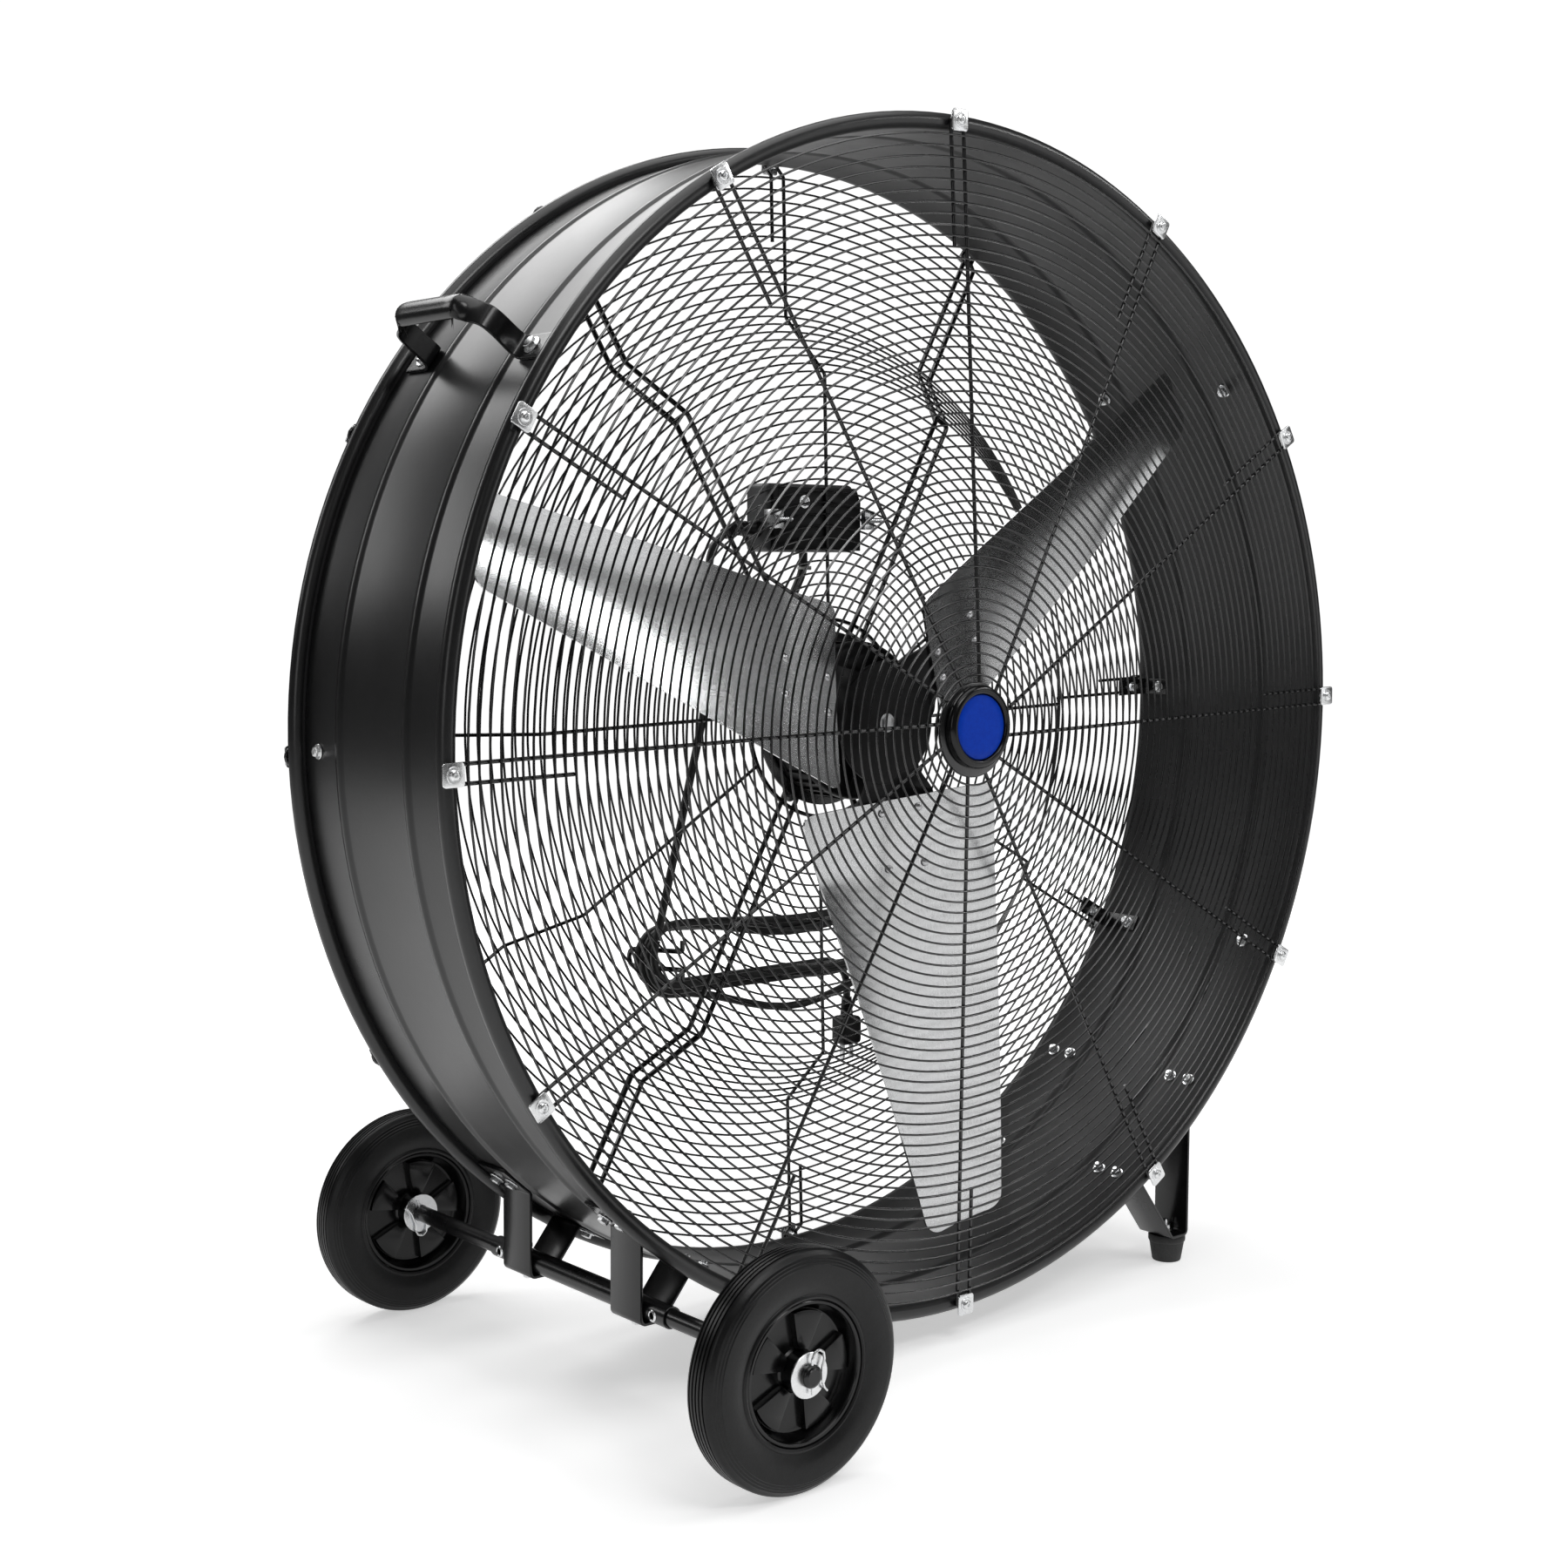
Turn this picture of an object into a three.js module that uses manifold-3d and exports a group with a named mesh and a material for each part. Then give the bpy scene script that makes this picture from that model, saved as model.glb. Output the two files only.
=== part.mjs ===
// Large drum fan on two wheels and two rubber feet.
// Millimetres, +Z up; the air blows out at the front, which faces -Y.
// The origin is on the floor, under the middle of the drum.
import * as THREE from 'three';
import { mergeVertices } from 'three/addons/utils/BufferGeometryUtils.js';
import Module from 'manifold-3d';

const wasm = await Module();
wasm.setup();

// ---- driving dimensions ----
const degree = Math.PI / 180;
const gap = 0.35; // clearance kept between pieces that touch

const drum = {
  axisHeight: 599, // fan axis above the floor
  skinRadius: 557, // outside of the sheet
  skinThickness: 2,
  beadRadius: 561, // centre of the rolled bead at each rim
  beadSize: 8, // radius of the bead's round
  beadOffset: 122, // bead centre from the middle of the drum
  ribOffset: 55, // centre of each swaged rib from the middle
  ribWidth: 16,
  ribHeight: 2.4,
  segments: 48,
};

const clip = { radius: 562, size: 20, sheet: 2, screwHead: 4.8, screwHeight: 2.8 };

const front = {
  turn: -1.2, // degrees that the front grille sits turned
  wire: 3.6, // spokes
  ring: 3, // rings
  rimDepth: -132.2, // y of the spokes over the bead
  hubDepth: -150, // y of the spokes at the hub
  reach: 567, // radius where the hairpins turn round
  hubRadius: 42,
  halfPair: 8, // each leg of a hairpin from its middle line
  shortLegEnd: 447,
  rings: [145, 245, 343, 440, 541],
};

const rear = {
  turn: -1.5,
  wire: 3.6,
  ring: 3,
  rimDepth: 132.2,
  outerDepth: 123, // y of the flat outer part
  innerDepth: 64.5, // y of the sunk middle
  stepOuter: 404, // radius where the slope starts
  stepInner: 344, // radius where the slope ends
  hubRadius: 100,
  reach: 567,
  flatRings: [193, 285],
  outerRings: [470, 541],
  shortLegEnd: 478,
  strutWire: 5,
  strutHalfPair: 8.5,
  strutLift: 2.2, // the struts lie this much further back than the spokes
  strutEnd: 80,
};

const motor = { radius: 80, face: -3, back: 60.3, plateRadius: 88, plateSheet: 3, shaft: 8, tip: -33 };

const fan = {
  blades: 3,
  firstClock: 170.3, // degrees clockwise from the top, seen from the front
  depth: -33.8, // y of a blade at its rivets
  tipDepth: -48.5,
  pitch: 24, // degrees at the root
  tipPitch: 16,
  rivetRadius: 145, // the twist starts here
  rootRadius: 76,
  tipRadius: 520,
  tipSlant: 4, // the leading tip corner is this much further out than the middle
  sheet: 2.4,
  rootEdges: [-90, 95], // trailing and leading edge from the blade's middle line
  tipEdges: [-43, 38],
  rootRound: 12,
  tipRound: 15,
  armReach: 166,
  armHalfWidth: 35,
  armSheet: 4,
  face: 61, // radius of the flat disc that the arms grow from
  faceFrom: -30.2,
  faceTo: -25.6,
  boss: 21,
  bossTo: -8,
};

const wheel = {
  x: -348,
  y: 300,
  radius: 101.6,
  halfWidth: 19,
  rim: 60,
  hub: 17,
  hubHalf: 17.5,
  panels: 5,
  washer: 20,
  washerSheet: 2,
  segments: 24,
};
const axle = { radius: 8, end: 326, tubeRadius: 10, tubeEnd: 137, pinOffset: 323 };

const strap = { sheet: 3, width: 45, offset: 86.3 };
const foot = { x: 368, top: 20, bottom: 15.5, height: 30 };
const handle = {
  clocks: [306.5, 52, 118],
  half: [ // [y, radius of the crown, share of a half-round, flat width] from a foot to the grip
    [-104, 558.85, 0, 25.5], [-73, 558.85, 0, 25], [-67, 565, 0, 21.5], [-68, 591, 0, 21],
    [-64.5, 600, 0, 21], [-57, 606.5, 0.1, 21], [-46, 620.8, 0.9, 31], [-41, 622.3, 1, 33],
  ],
};

const box = { left: -64, right: 50, bottom: 167, top: 235, face: 66.9, split: 78, back: 111 };
const knob = { x: -8, z: 203, radius: 17, height: 15 };
const gland = { z: 190, y: 94, radius: 9, length: 13 };

const cord = {
  radius: 4,
  end: 0.3, // space left where one stretch meets the next
  sides: 8,
  leadBend: 40,
  motorRadius: 4.5,
  motorBend: 36,
};

const hank = {
  turns: 3,
  reach: 196, // end of each bend from the middle
  top: -196, // top run of the first turn, from the fan axis
  topStep: -3, // each further turn
  bottoms: [-259, -266, -271, -262], // bottom run of each turn; the last one leads to the plug
  topSags: [10, 22, 14],
  bottomSags: [1, 2, 31],
  depth: 90.8, // y of the first turn
  depthStep: 8.8,
  start: 165, // degrees round the left bend where the first turn starts
  plugX: 80,
  plugTop: -304,
  exitBend: 32,
  sides: 6,
};
const hook = { x: 180, tipX: 184.5, tip: 148, high: -221, low: -239, drop: 6, foot: 11, wire: 5 };

// ---- finishes ----
function finish(color, roughness, metalness) {
  return () => new THREE.MeshStandardMaterial({ color, roughness, metalness });
}
const blackPaint = finish(0x101112, 0.28, 0.1);
const blackWire = finish(0x0c0c0d, 0.35, 0.2);
const bareAluminium = finish(0xa9abad, 0.35, 0.9);
const zinc = finish(0xc9cccf, 0.25, 0.95);
const blackRubber = finish(0x191919, 0.75, 0);
const blackPlastic = finish(0x0d0d0e, 0.3, 0);
const greyPlastic = finish(0x55585b, 0.5, 0);
const bluePlastic = finish(0x0a3a9c, 0.35, 0);
const steelBar = finish(0x8d9093, 0.35, 0.9);
const cordSkin = finish(0x111111, 0.55, 0);

// ---- solids ----
// Any closed geometry as a solid, with its faces turned outwards.
function toSolid(geometry) {
  const bare = geometry.clone();
  bare.deleteAttribute('normal');
  bare.deleteAttribute('uv');
  const merged = mergeVertices(bare, 1e-4);
  const at = merged.attributes.position.array;
  const corner = (i) => new THREE.Vector3().fromArray(at, i * 3);
  const kept = [];
  let volume = 0;
  for (let i = 0; i < merged.index.count; i += 3) {
    const [a, b, c] = merged.index.array.slice(i, i + 3);
    if (a === b || b === c || c === a) continue;
    kept.push(a, b, c);
    volume += corner(a).dot(corner(b).cross(corner(c)));
  }
  if (volume < 0) kept.reverse();
  const mesh = new wasm.Mesh({
    numProp: 3,
    vertProperties: new Float32Array(at),
    triVerts: new Uint32Array(kept),
  });
  return new wasm.Manifold(mesh);
}

function toGeometry(solid) {
  const mesh = solid.getMesh();
  const geometry = new THREE.BufferGeometry();
  geometry.setAttribute('position', new THREE.Float32BufferAttribute(mesh.vertProperties, 3));
  geometry.setIndex(Array.from(mesh.triVerts));
  geometry.computeVertexNormals();
  return geometry;
}

function join(...geometries) {
  const solids = geometries.map(toSolid);
  return toGeometry(solids.slice(1).reduce((whole, next) => whole.add(next), solids[0]));
}

function cut(base, ...tools) {
  return toGeometry(tools.map(toSolid).reduce((left, tool) => left.subtract(tool), toSolid(base)));
}

// A profile of [radius, y] points turned round the Y axis. It ends on the axis or closes on itself.
function turned(profile, segments, start = 0) {
  const points = profile.map(([radius, y]) => new THREE.Vector2(radius, y));
  if (profile[0][0] > 0) points.push(points[0].clone());
  return toGeometry(toSolid(new THREE.LatheGeometry(points, segments, start)));
}

function disc(radius, from, to, segments = 20) {
  return turned([[0, from], [radius, from], [radius, to], [0, to]], segments);
}

function sleeve(inner, outer, from, to, segments = 20) {
  return turned([[inner, from], [outer, from], [outer, to], [inner, to]], segments);
}

function polygon(points) {
  return new THREE.Shape(points.map(([a, b]) => new THREE.Vector2(a, b)));
}

// A rectangle with rounded corners.
function roundedShape(x0, x1, z0, z1, round) {
  const shape = new THREE.Shape();
  shape.absarc(x1 - round, z1 - round, round, 0, 90 * degree);
  shape.absarc(x0 + round, z1 - round, round, 90 * degree, 180 * degree);
  shape.absarc(x0 + round, z0 + round, round, 180 * degree, 270 * degree);
  shape.absarc(x1 - round, z0 + round, round, 270 * degree, 360 * degree);
  return shape;
}

// A shape drawn in [x, z], given a depth along Y.
function plateAlongY(shape, from, to, curveSegments = 2) {
  const depth = to - from;
  const geometry = new THREE.ExtrudeGeometry(shape, { depth, bevelEnabled: false, curveSegments });
  geometry.rotateX(90 * degree).translate(0, to, 0);
  return toGeometry(toSolid(geometry));
}

// A line moved sideways by a distance, with mitred corners.
function offsetLine(line, distance) {
  const points = line.map(([a, b]) => new THREE.Vector2(a, b));
  const last = points.length - 1;
  const directions = points.slice(1).map((point, i) => point.clone().sub(points[i]).normalize());
  return points.map((point, i) => {
    const into = directions[Math.max(i - 1, 0)];
    const out = directions[Math.min(i, last - 1)];
    const mitre = new THREE.Vector2(-into.y - out.y, into.x + out.x).normalize();
    const reach = distance / (-mitre.x * into.y + mitre.y * into.x);
    return [point.x + mitre.x * reach, point.y + mitre.y * reach];
  });
}

// The outline of a bent strip of even thickness.
function stripShape(line, thickness) {
  return polygon([...offsetLine(line, thickness / 2), ...offsetLine(line, -thickness / 2).reverse()]);
}

// A bent strip drawn in [x, z].
function stripAlongY(line, thickness, from, to) {
  return plateAlongY(stripShape(line, thickness), from, to);
}

// A wire of flat-sided section along straight stretches; one flat faces along Y.
function wire(points, width, closed = false) {
  const along = new THREE.Vector3(0, 1, 0);
  const line = points.map(([x, y, z]) => new THREE.Vector3(x, y, z));
  const count = line.length;
  const positions = [];
  line.forEach((point, i) => {
    const before = line[closed ? (i + count - 1) % count : Math.max(i - 1, 0)];
    const after = line[closed ? (i + 1) % count : Math.min(i + 1, count - 1)];
    const into = (before === point ? after.clone().sub(point) : point.clone().sub(before)).normalize();
    const out = (after === point ? into.clone() : after.clone().sub(point)).normalize();
    const side = new THREE.Vector3().crossVectors(along, into.clone().add(out)).normalize();
    const tangent = into.clone().add(out).normalize();
    const up = new THREE.Vector3().crossVectors(tangent, side);
    const widen = 1 / Math.max(tangent.dot(into), 0.5);
    const half = width / 2;
    const plane = Math.hypot(into.x, into.z) < 0.2 ? 1 : widen;
    for (const [a, b] of [[-1, -1], [1, -1], [1, 1], [-1, 1]]) {
      const at = point.clone().addScaledVector(side, a * half * plane).addScaledVector(up, b * half);
      positions.push(at.x, at.y, at.z);
    }
  });
  return lofted(positions, count, 4, closed);
}

// Rings of points joined one to the next, with flat ends or closed round.
function lofted(positions, rings, sides, closed = false) {
  const index = [];
  for (let i = 0; i < rings - (closed ? 0 : 1); i++) {
    const next = (i + 1) % rings;
    for (let j = 0; j < sides; j++) {
      const k = (j + 1) % sides;
      index.push(i * sides + j, i * sides + k, next * sides + k);
      index.push(i * sides + j, next * sides + k, next * sides + j);
    }
  }
  const end = (rings - 1) * sides;
  for (let j = 1; j < sides - 1 && !closed; j++) {
    index.push(0, j + 1, j);
    index.push(end, end + j, end + j + 1);
  }
  const geometry = new THREE.BufferGeometry();
  geometry.setAttribute('position', new THREE.Float32BufferAttribute(positions, 3));
  geometry.setIndex(index);
  return toGeometry(toSolid(geometry));
}

// ---- the assembly ----
const model = new THREE.Group();
const onAxis = new THREE.Group(); // holds everything that is measured from the fan axis
onAxis.position.z = drum.axisHeight;
model.add(onAxis);

function piece(parent, name, geometry, material) {
  const mesh = new THREE.Mesh(geometry, material());
  mesh.name = name;
  parent.add(mesh);
  return mesh;
}

// A group turned clockwise round the fan axis, seen from the front.
// In it +Z is outwards from the axis and +X is clockwise.
function atClock(clock) {
  const group = new THREE.Group();
  group.rotation.y = clock * degree;
  onAxis.add(group);
  return group;
}

function around(clock, radius) {
  return [radius * Math.sin(clock * degree), radius * Math.cos(clock * degree)];
}

// ---- drum ----
function beadArc(side) {
  const { skinRadius, skinThickness, beadRadius, beadSize, beadOffset } = drum;
  const first = Math.acos((skinRadius - skinThickness - beadRadius) / beadSize) / degree;
  const last = Math.acos((skinRadius - beadRadius) / beadSize) / degree;
  const arc = [first, 180, 225, 270, 315, 0, 50, last].map((angle) => [
    beadRadius + beadSize * Math.cos(angle * degree),
    side * (beadOffset - beadSize * Math.sin(angle * degree)),
  ]);
  return side < 0 ? arc : arc.reverse();
}

function ribOutline(side) {
  const { skinRadius, ribOffset, ribWidth, ribHeight } = drum;
  const halves = [-ribWidth / 2, -ribWidth / 3.5, ribWidth / 3.5, ribWidth / 2];
  const rise = [0, ribHeight, ribHeight, 0];
  return halves.map((half, i) => [skinRadius + rise[i], side * ribOffset + half]);
}

piece(onAxis, 'drum_shell',
  turned([...beadArc(-1), ...ribOutline(-1), ...ribOutline(1), ...beadArc(1)], drum.segments),
  blackPaint);

// ---- front grille ----
function frontDepth(radius) {
  return mix(front.rimDepth, front.hubDepth, (553 - radius) / (553 - front.hubRadius));
}

function frontHairpin() {
  const { halfPair, reach, rimDepth, shortLegEnd, hubRadius } = front;
  const turnFrom = reach - halfPair;
  const path = [[halfPair, frontDepth(hubRadius), hubRadius], [halfPair, rimDepth, 553]];
  for (const angle of [0, 60, 120, 180]) {
    path.push([
      halfPair * Math.cos(angle * degree),
      rimDepth,
      turnFrom + halfPair * Math.sin(angle * degree),
    ]);
  }
  path.push([-halfPair, rimDepth, 553], [-halfPair, frontDepth(shortLegEnd), shortLegEnd]);
  return wire(path, front.wire);
}

// A ring of flat-sided wire.
function grilleRing(radius, y, size, tilt = 0) {
  const half = size / 2;
  const corners = [[-half, -half], [half, -half], [half, half], [-half, half]];
  const cosine = Math.cos(tilt * degree);
  const sine = Math.sin(tilt * degree);
  const profile = corners.map(([a, b]) => [radius + a * cosine - b * sine, y + a * sine + b * cosine]);
  return turned(profile, 24);
}

function frontGrille() {
  const seat = (front.wire + front.ring) / 2 - 0.6;
  const parts = [sleeve(34, front.hubRadius + 3, front.hubDepth - 1.8, front.hubDepth + 2.6, 20)];
  for (const radius of front.rings) {
    parts.push(grilleRing(radius, frontDepth(radius) - seat, front.ring));
  }
  for (let i = 0; i < 12; i++) parts.push(frontHairpin().rotateY(i * 30 * degree));
  return join(...parts);
}

const frontFrame = atClock(front.turn);
piece(frontFrame, 'front_grille', frontGrille(), blackWire);

function frontClip() {
  const { radius, size, sheet, screwHead, screwHeight } = clip;
  const seat = front.rimDepth - front.wire / 2 - gap;
  const plate = plateAlongY(roundedShape(-size / 2, size / 2, -size / 2, size / 2, 3),
    seat - sheet, seat, 1);
  const head = disc(screwHead, seat - sheet - screwHeight, seat - sheet + 0.5, 6);
  return join(plate, head).translate(0, 0, radius);
}

for (let i = 0; i < 12; i++) {
  const name = `front_clip_${String(i + 1).padStart(2, '0')}`;
  piece(atClock(front.turn + i * 30), name, frontClip(), zinc);
}

function badgeRing() {
  const back = front.hubDepth - 1.8 - gap;
  return turned([
    [0, back - 2], [33.4, back - 2], [33.4, back - 6.5], [36, back - 7], [40, back - 6],
    [42, back - 3], [42, back], [0, back],
  ], 20);
}

function badgeDisc() {
  const back = front.hubDepth - 1.8 - 2 * gap - 2;
  return turned([[0, back - 3.4], [28, back - 3], [32.7, back - 2], [32.7, back], [0, back]], 16);
}

piece(frontFrame, 'grille_badge_ring', badgeRing(), blackPlastic);
piece(frontFrame, 'badge_disc', badgeDisc(), bluePlastic);

// ---- rear grille and motor struts ----
const rearLine = [
  [553, rear.rimDepth],
  [543, rear.outerDepth],
  [rear.stepOuter, rear.outerDepth],
  [rear.stepInner, rear.innerDepth],
  [rear.hubRadius - 2, rear.innerDepth],
];

function rearHairpin() {
  const half = front.halfPair;
  const path = rearLine.map(([radius, y]) => [half, y, radius]).reverse();
  for (const angle of [0, 60, 120, 180]) {
    path.push([
      half * Math.cos(angle * degree),
      rear.rimDepth,
      rear.reach - half + half * Math.sin(angle * degree),
    ]);
  }
  path.push([-half, rear.rimDepth, rearLine[0][0]], [-half, rear.outerDepth, rearLine[1][0]]);
  path.push([-half, rear.outerDepth, rear.shortLegEnd]);
  return wire(path, rear.wire);
}

function rearGrille() {
  const seat = (rear.wire + rear.ring) / 2 - 0.6;
  const { innerDepth, outerDepth, stepInner, stepOuter, ring } = rear;
  const middle = (stepInner + stepOuter) / 2;
  const slopeDepth = (innerDepth + outerDepth) / 2;
  const shift = seat * Math.SQRT1_2;
  const parts = [
    grilleRing(rear.hubRadius, innerDepth - seat, ring),
    grilleRing(middle + shift, slopeDepth - shift, ring, 45),
  ];
  for (const radius of rear.flatRings) parts.push(grilleRing(radius, innerDepth - seat, ring));
  for (const radius of rear.outerRings) parts.push(grilleRing(radius, outerDepth - seat, ring));
  for (const clock of [0, 60, 90, 120, 180, 240, 270, 300]) {
    parts.push(rearHairpin().rotateY(clock * degree));
  }
  return join(...parts);
}

function motorStrut() {
  const { strutHalfPair: half, strutLift, strutEnd, strutWire, reach, rimDepth } = rear;
  const line = offsetLine([...rearLine.slice(0, 4), [strutEnd + half, rear.innerDepth]], -strutLift);
  const rim = rimDepth + (strutWire - rear.wire) / 2;
  const turn = (x, radius, y, from) => [0, 60, 120, 180].map((angle) => [
    x * Math.cos((from + angle) * degree),
    y,
    radius + half * Math.sin((from + angle) * degree),
  ]);
  const outer = turn(half, reach - half, rim, 0);
  const inner = turn(half, strutEnd + half, line[4][1], 180);
  const down = line.slice(0, 4).map(([radius, y]) => [-half, y, radius]);
  const up = line.slice(0, 4).map(([radius, y]) => [half, y, radius]).reverse();
  return wire([...outer, ...down, ...inner, ...up], strutWire, true);
}

const rearFrame = atClock(rear.turn);
piece(rearFrame, 'rear_grille', rearGrille(), blackWire);
[30, 150, 210, 330].forEach((clock, i) => {
  piece(atClock(rear.turn + clock), `motor_strut_${i + 1}`, motorStrut(), blackWire);
});

// ---- motor ----
function motorHousing() {
  const { radius, face, back } = motor;
  return turned([
    [0, face], [26, face], [30, face + 3], [62, face + 4], [75, face + 9], [radius, face + 18],
    [radius, back - 8], [radius - 7, back], [0, back],
  ], 24);
}

piece(onAxis, 'motor_housing', motorHousing(), blackPaint);
piece(onAxis, 'motor_mount_plate',
  disc(motor.plateRadius, motor.back + gap, motor.back + gap + motor.plateSheet, 24), blackPaint);
piece(onAxis, 'motor_shaft',
  turned([[0, motor.tip], [6.5, motor.tip], [motor.shaft, motor.tip + 1.5],
    [motor.shaft, motor.face - gap], [0, motor.face - gap]], 12),
  steelBar);

// ---- fan ----
function mix(from, to, share) {
  return from + (to - from) * share;
}

// Front-to-back place of the blade sheet at a radius along its middle line and an offset from it.
function bladeDepth(along, across) {
  const share = Math.max((along - fan.rivetRadius) / (fan.tipRadius - fan.rivetRadius), 0);
  const slope = mix(Math.tan(fan.pitch * degree), Math.tan(fan.tipPitch * degree), share);
  const halfChord = mix(92, 40, (along - fan.rootRadius) / (fan.tipRadius - fan.rootRadius));
  const camber = 3 + 5 * Math.sin(Math.PI * 0.9 * Math.min(share, 1));
  return mix(fan.depth, fan.tipDepth, share) + across * slope - camber * (across / halfChord) ** 2;
}

// A sheet of even thickness over a grid of points; its back is towards the normal.
function sheet(rows, columns, place, thickness) {
  const positions = [];
  for (let i = 0; i <= rows; i++) {
    const front = [];
    const back = [];
    for (let j = 0; j <= columns; j++) {
      const [x, y, z, normal = [0, 1, 0]] = place(i / rows, j / columns);
      const [a, b, c] = normal.map((part) => (part * thickness) / 2);
      front.push([x - a, y - b, z - c]);
      back.unshift([x + a, y + b, z + c]);
    }
    positions.push(...[...front, ...back].flat());
  }
  return sheetFaces(positions, rows, columns);
}

function sheetFaces(positions, rows, columns) {
  const side = 2 * (columns + 1);
  const index = [];
  for (let i = 0; i < rows; i++) {
    for (let j = 0; j < side; j++) {
      const k = (j + 1) % side;
      index.push(i * side + j, i * side + k, (i + 1) * side + k);
      index.push(i * side + j, (i + 1) * side + k, (i + 1) * side + j);
    }
  }
  for (const row of [0, rows]) {
    for (let j = 0; j < columns; j++) {
      const quad = [j, j + 1, side - 2 - j, side - 1 - j].map((corner) => corner + row * side);
      if (row) quad.reverse();
      index.push(quad[0], quad[2], quad[1], quad[0], quad[3], quad[2]);
    }
  }
  const geometry = new THREE.BufferGeometry();
  geometry.setAttribute('position', new THREE.Float32BufferAttribute(positions, 3));
  geometry.setIndex(index);
  return toGeometry(toSolid(geometry));
}

// How far a rounded corner draws the edge in, at a distance from the end.
function cornerInset(distance, round) {
  return distance < round ? round - Math.sqrt(round ** 2 - (round - distance) ** 2) : 0;
}

function blade() {
  const length = fan.tipRadius - fan.rootRadius;
  const stops = [0, 0.008, 0.027, 0.18, 0.36, 0.54, 0.72, 0.88, 0.967, 0.99, 1];
  return sheet(stops.length - 1, 4, (s, t) => {
    const share = stops[Math.round(s * (stops.length - 1))];
    const inset = cornerInset(share * length, fan.rootRound)
      + cornerInset((1 - share) * length, fan.tipRound);
    const trailing = mix(fan.rootEdges[0], fan.tipEdges[0], share) + inset;
    const leading = mix(fan.rootEdges[1], fan.tipEdges[1], share) - inset;
    const across = mix(trailing, leading, t);
    const along = fan.rootRadius + share * (length + fan.tipSlant * (2 * t - 1));
    return [across, bladeDepth(along, across), along];
  }, fan.sheet / Math.cos(fan.pitch * degree));
}

function spiderArm() {
  const lift = (fan.sheet + fan.armSheet) / 2 / Math.cos(fan.pitch * degree) + gap + 0.8;
  const stops = [36, 50, 59, 68, 78, 150, fan.armReach];
  return sheet(stops.length - 1, 4, (s, t) => {
    const along = stops[Math.round(s * (stops.length - 1))];
    const across = mix(-fan.armHalfWidth, fan.armHalfWidth, t) * (s > 0.9 ? 0.72 : 1);
    const share = Math.min(Math.max((along - stops[1]) / (stops[4] - stops[1]), 0), 1);
    const twist = share * share * (3 - 2 * share);
    const flat = (fan.faceFrom + fan.faceTo) / 2;
    return [across, mix(flat, bladeDepth(along, across) + lift, twist), along];
  }, fan.armSheet / Math.cos(fan.pitch * degree));
}

function spider() {
  const arms = [];
  for (let i = 0; i < fan.blades; i++) {
    arms.push(spiderArm().rotateY((fan.firstClock + (i * 360) / fan.blades) * degree));
  }
  const middle = turned([
    [0, fan.faceFrom], [fan.face, fan.faceFrom], [fan.face, fan.faceTo],
    [fan.boss, fan.faceTo], [fan.boss, fan.bossTo], [0, fan.bossTo],
  ], 36);
  const whole = join(middle, ...arms);
  return cut(whole, disc(motor.shaft + gap, -70, 20, 16));
}

piece(onAxis, 'fan_spider', spider(), blackPaint);
for (let i = 0; i < fan.blades; i++) {
  const group = atClock(fan.firstClock + (i * 360) / fan.blades);
  piece(group, `blade_${i + 1}`, blade(), bareAluminium);
}

// ---- handles ----
// One strap: flat at its feet and arms, and pressed to a half-round along the grip.
function carryHandle() {
  const mirrored = handle.half.map(([y, radius, curl, width]) => [-y, radius, curl, width]).reverse();
  const stations = [...handle.half, ...mirrored];
  const last = stations.length - 1;
  return sheet(last, 4, (s, t) => {
    const i = Math.round(s * last);
    const [y, crown, curl, width] = stations[i];
    const [before, after] = [stations[Math.max(i - 1, 0)], stations[Math.min(i + 1, last)]];
    const into = i ? unit(stations[i][0] - before[0], stations[i][1] - before[1]) : [1, 0];
    const out = i < last ? unit(after[0] - stations[i][0], after[1] - stations[i][1]) : into;
    const [ty, tr] = unit(into[0] + out[0], into[1] + out[1]);
    const w = (0.5 - t) * width;
    const turn = curl ? (w / width) * curl * Math.PI : 0;
    const round = curl ? width / (curl * Math.PI) : 0;
    const x = curl ? round * Math.sin(turn) : w;
    const drop = round * (1 - Math.cos(turn));
    return [x, y + tr * drop, crown - ty * drop,
      [Math.sin(turn), -tr * Math.cos(turn), ty * Math.cos(turn)]];
  }, strap.sheet);
}

function unit(a, b) {
  return [a / Math.hypot(a, b), b / Math.hypot(a, b)];
}

handle.clocks.forEach((clock, i) => {
  piece(atClock(clock), ['handle_left', 'handle_right', 'handle_lower'][i], carryHandle(), blackPaint);
});

// ---- legs and wheel brackets ----
// Drawn in [x, height above the fan axis]; both ends lie on the drum's skin.
const flangeSeat = drum.skinRadius + gap + strap.sheet / 2 + 0.4;
const legFlat = foot.height + strap.sheet / 2 - drum.axisHeight;
const legLine = [
  around(134, flangeSeat), around(137.9, flangeSeat), [375, legFlat], [351, legFlat],
  around(149.3, flangeSeat), around(152.6, flangeSeat),
];
const bracketFlat = wheel.radius - axle.tubeRadius - gap - strap.sheet / 2 - drum.axisHeight;
const bracketLine = [
  around(224, flangeSeat), around(220, flangeSeat), [-360, bracketFlat], [-336, bracketFlat],
  around(212.9, flangeSeat), around(209.4, flangeSeat),
];

function footBlock() {
  const { top, bottom, height } = foot;
  const profile = [[0, 0], [bottom - 1.5, 0], [bottom, 1.5], [top, height - 5], [top, height - gap],
    [0, height - gap]];
  return turned(profile, 16).rotateX(90 * degree);
}

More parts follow.
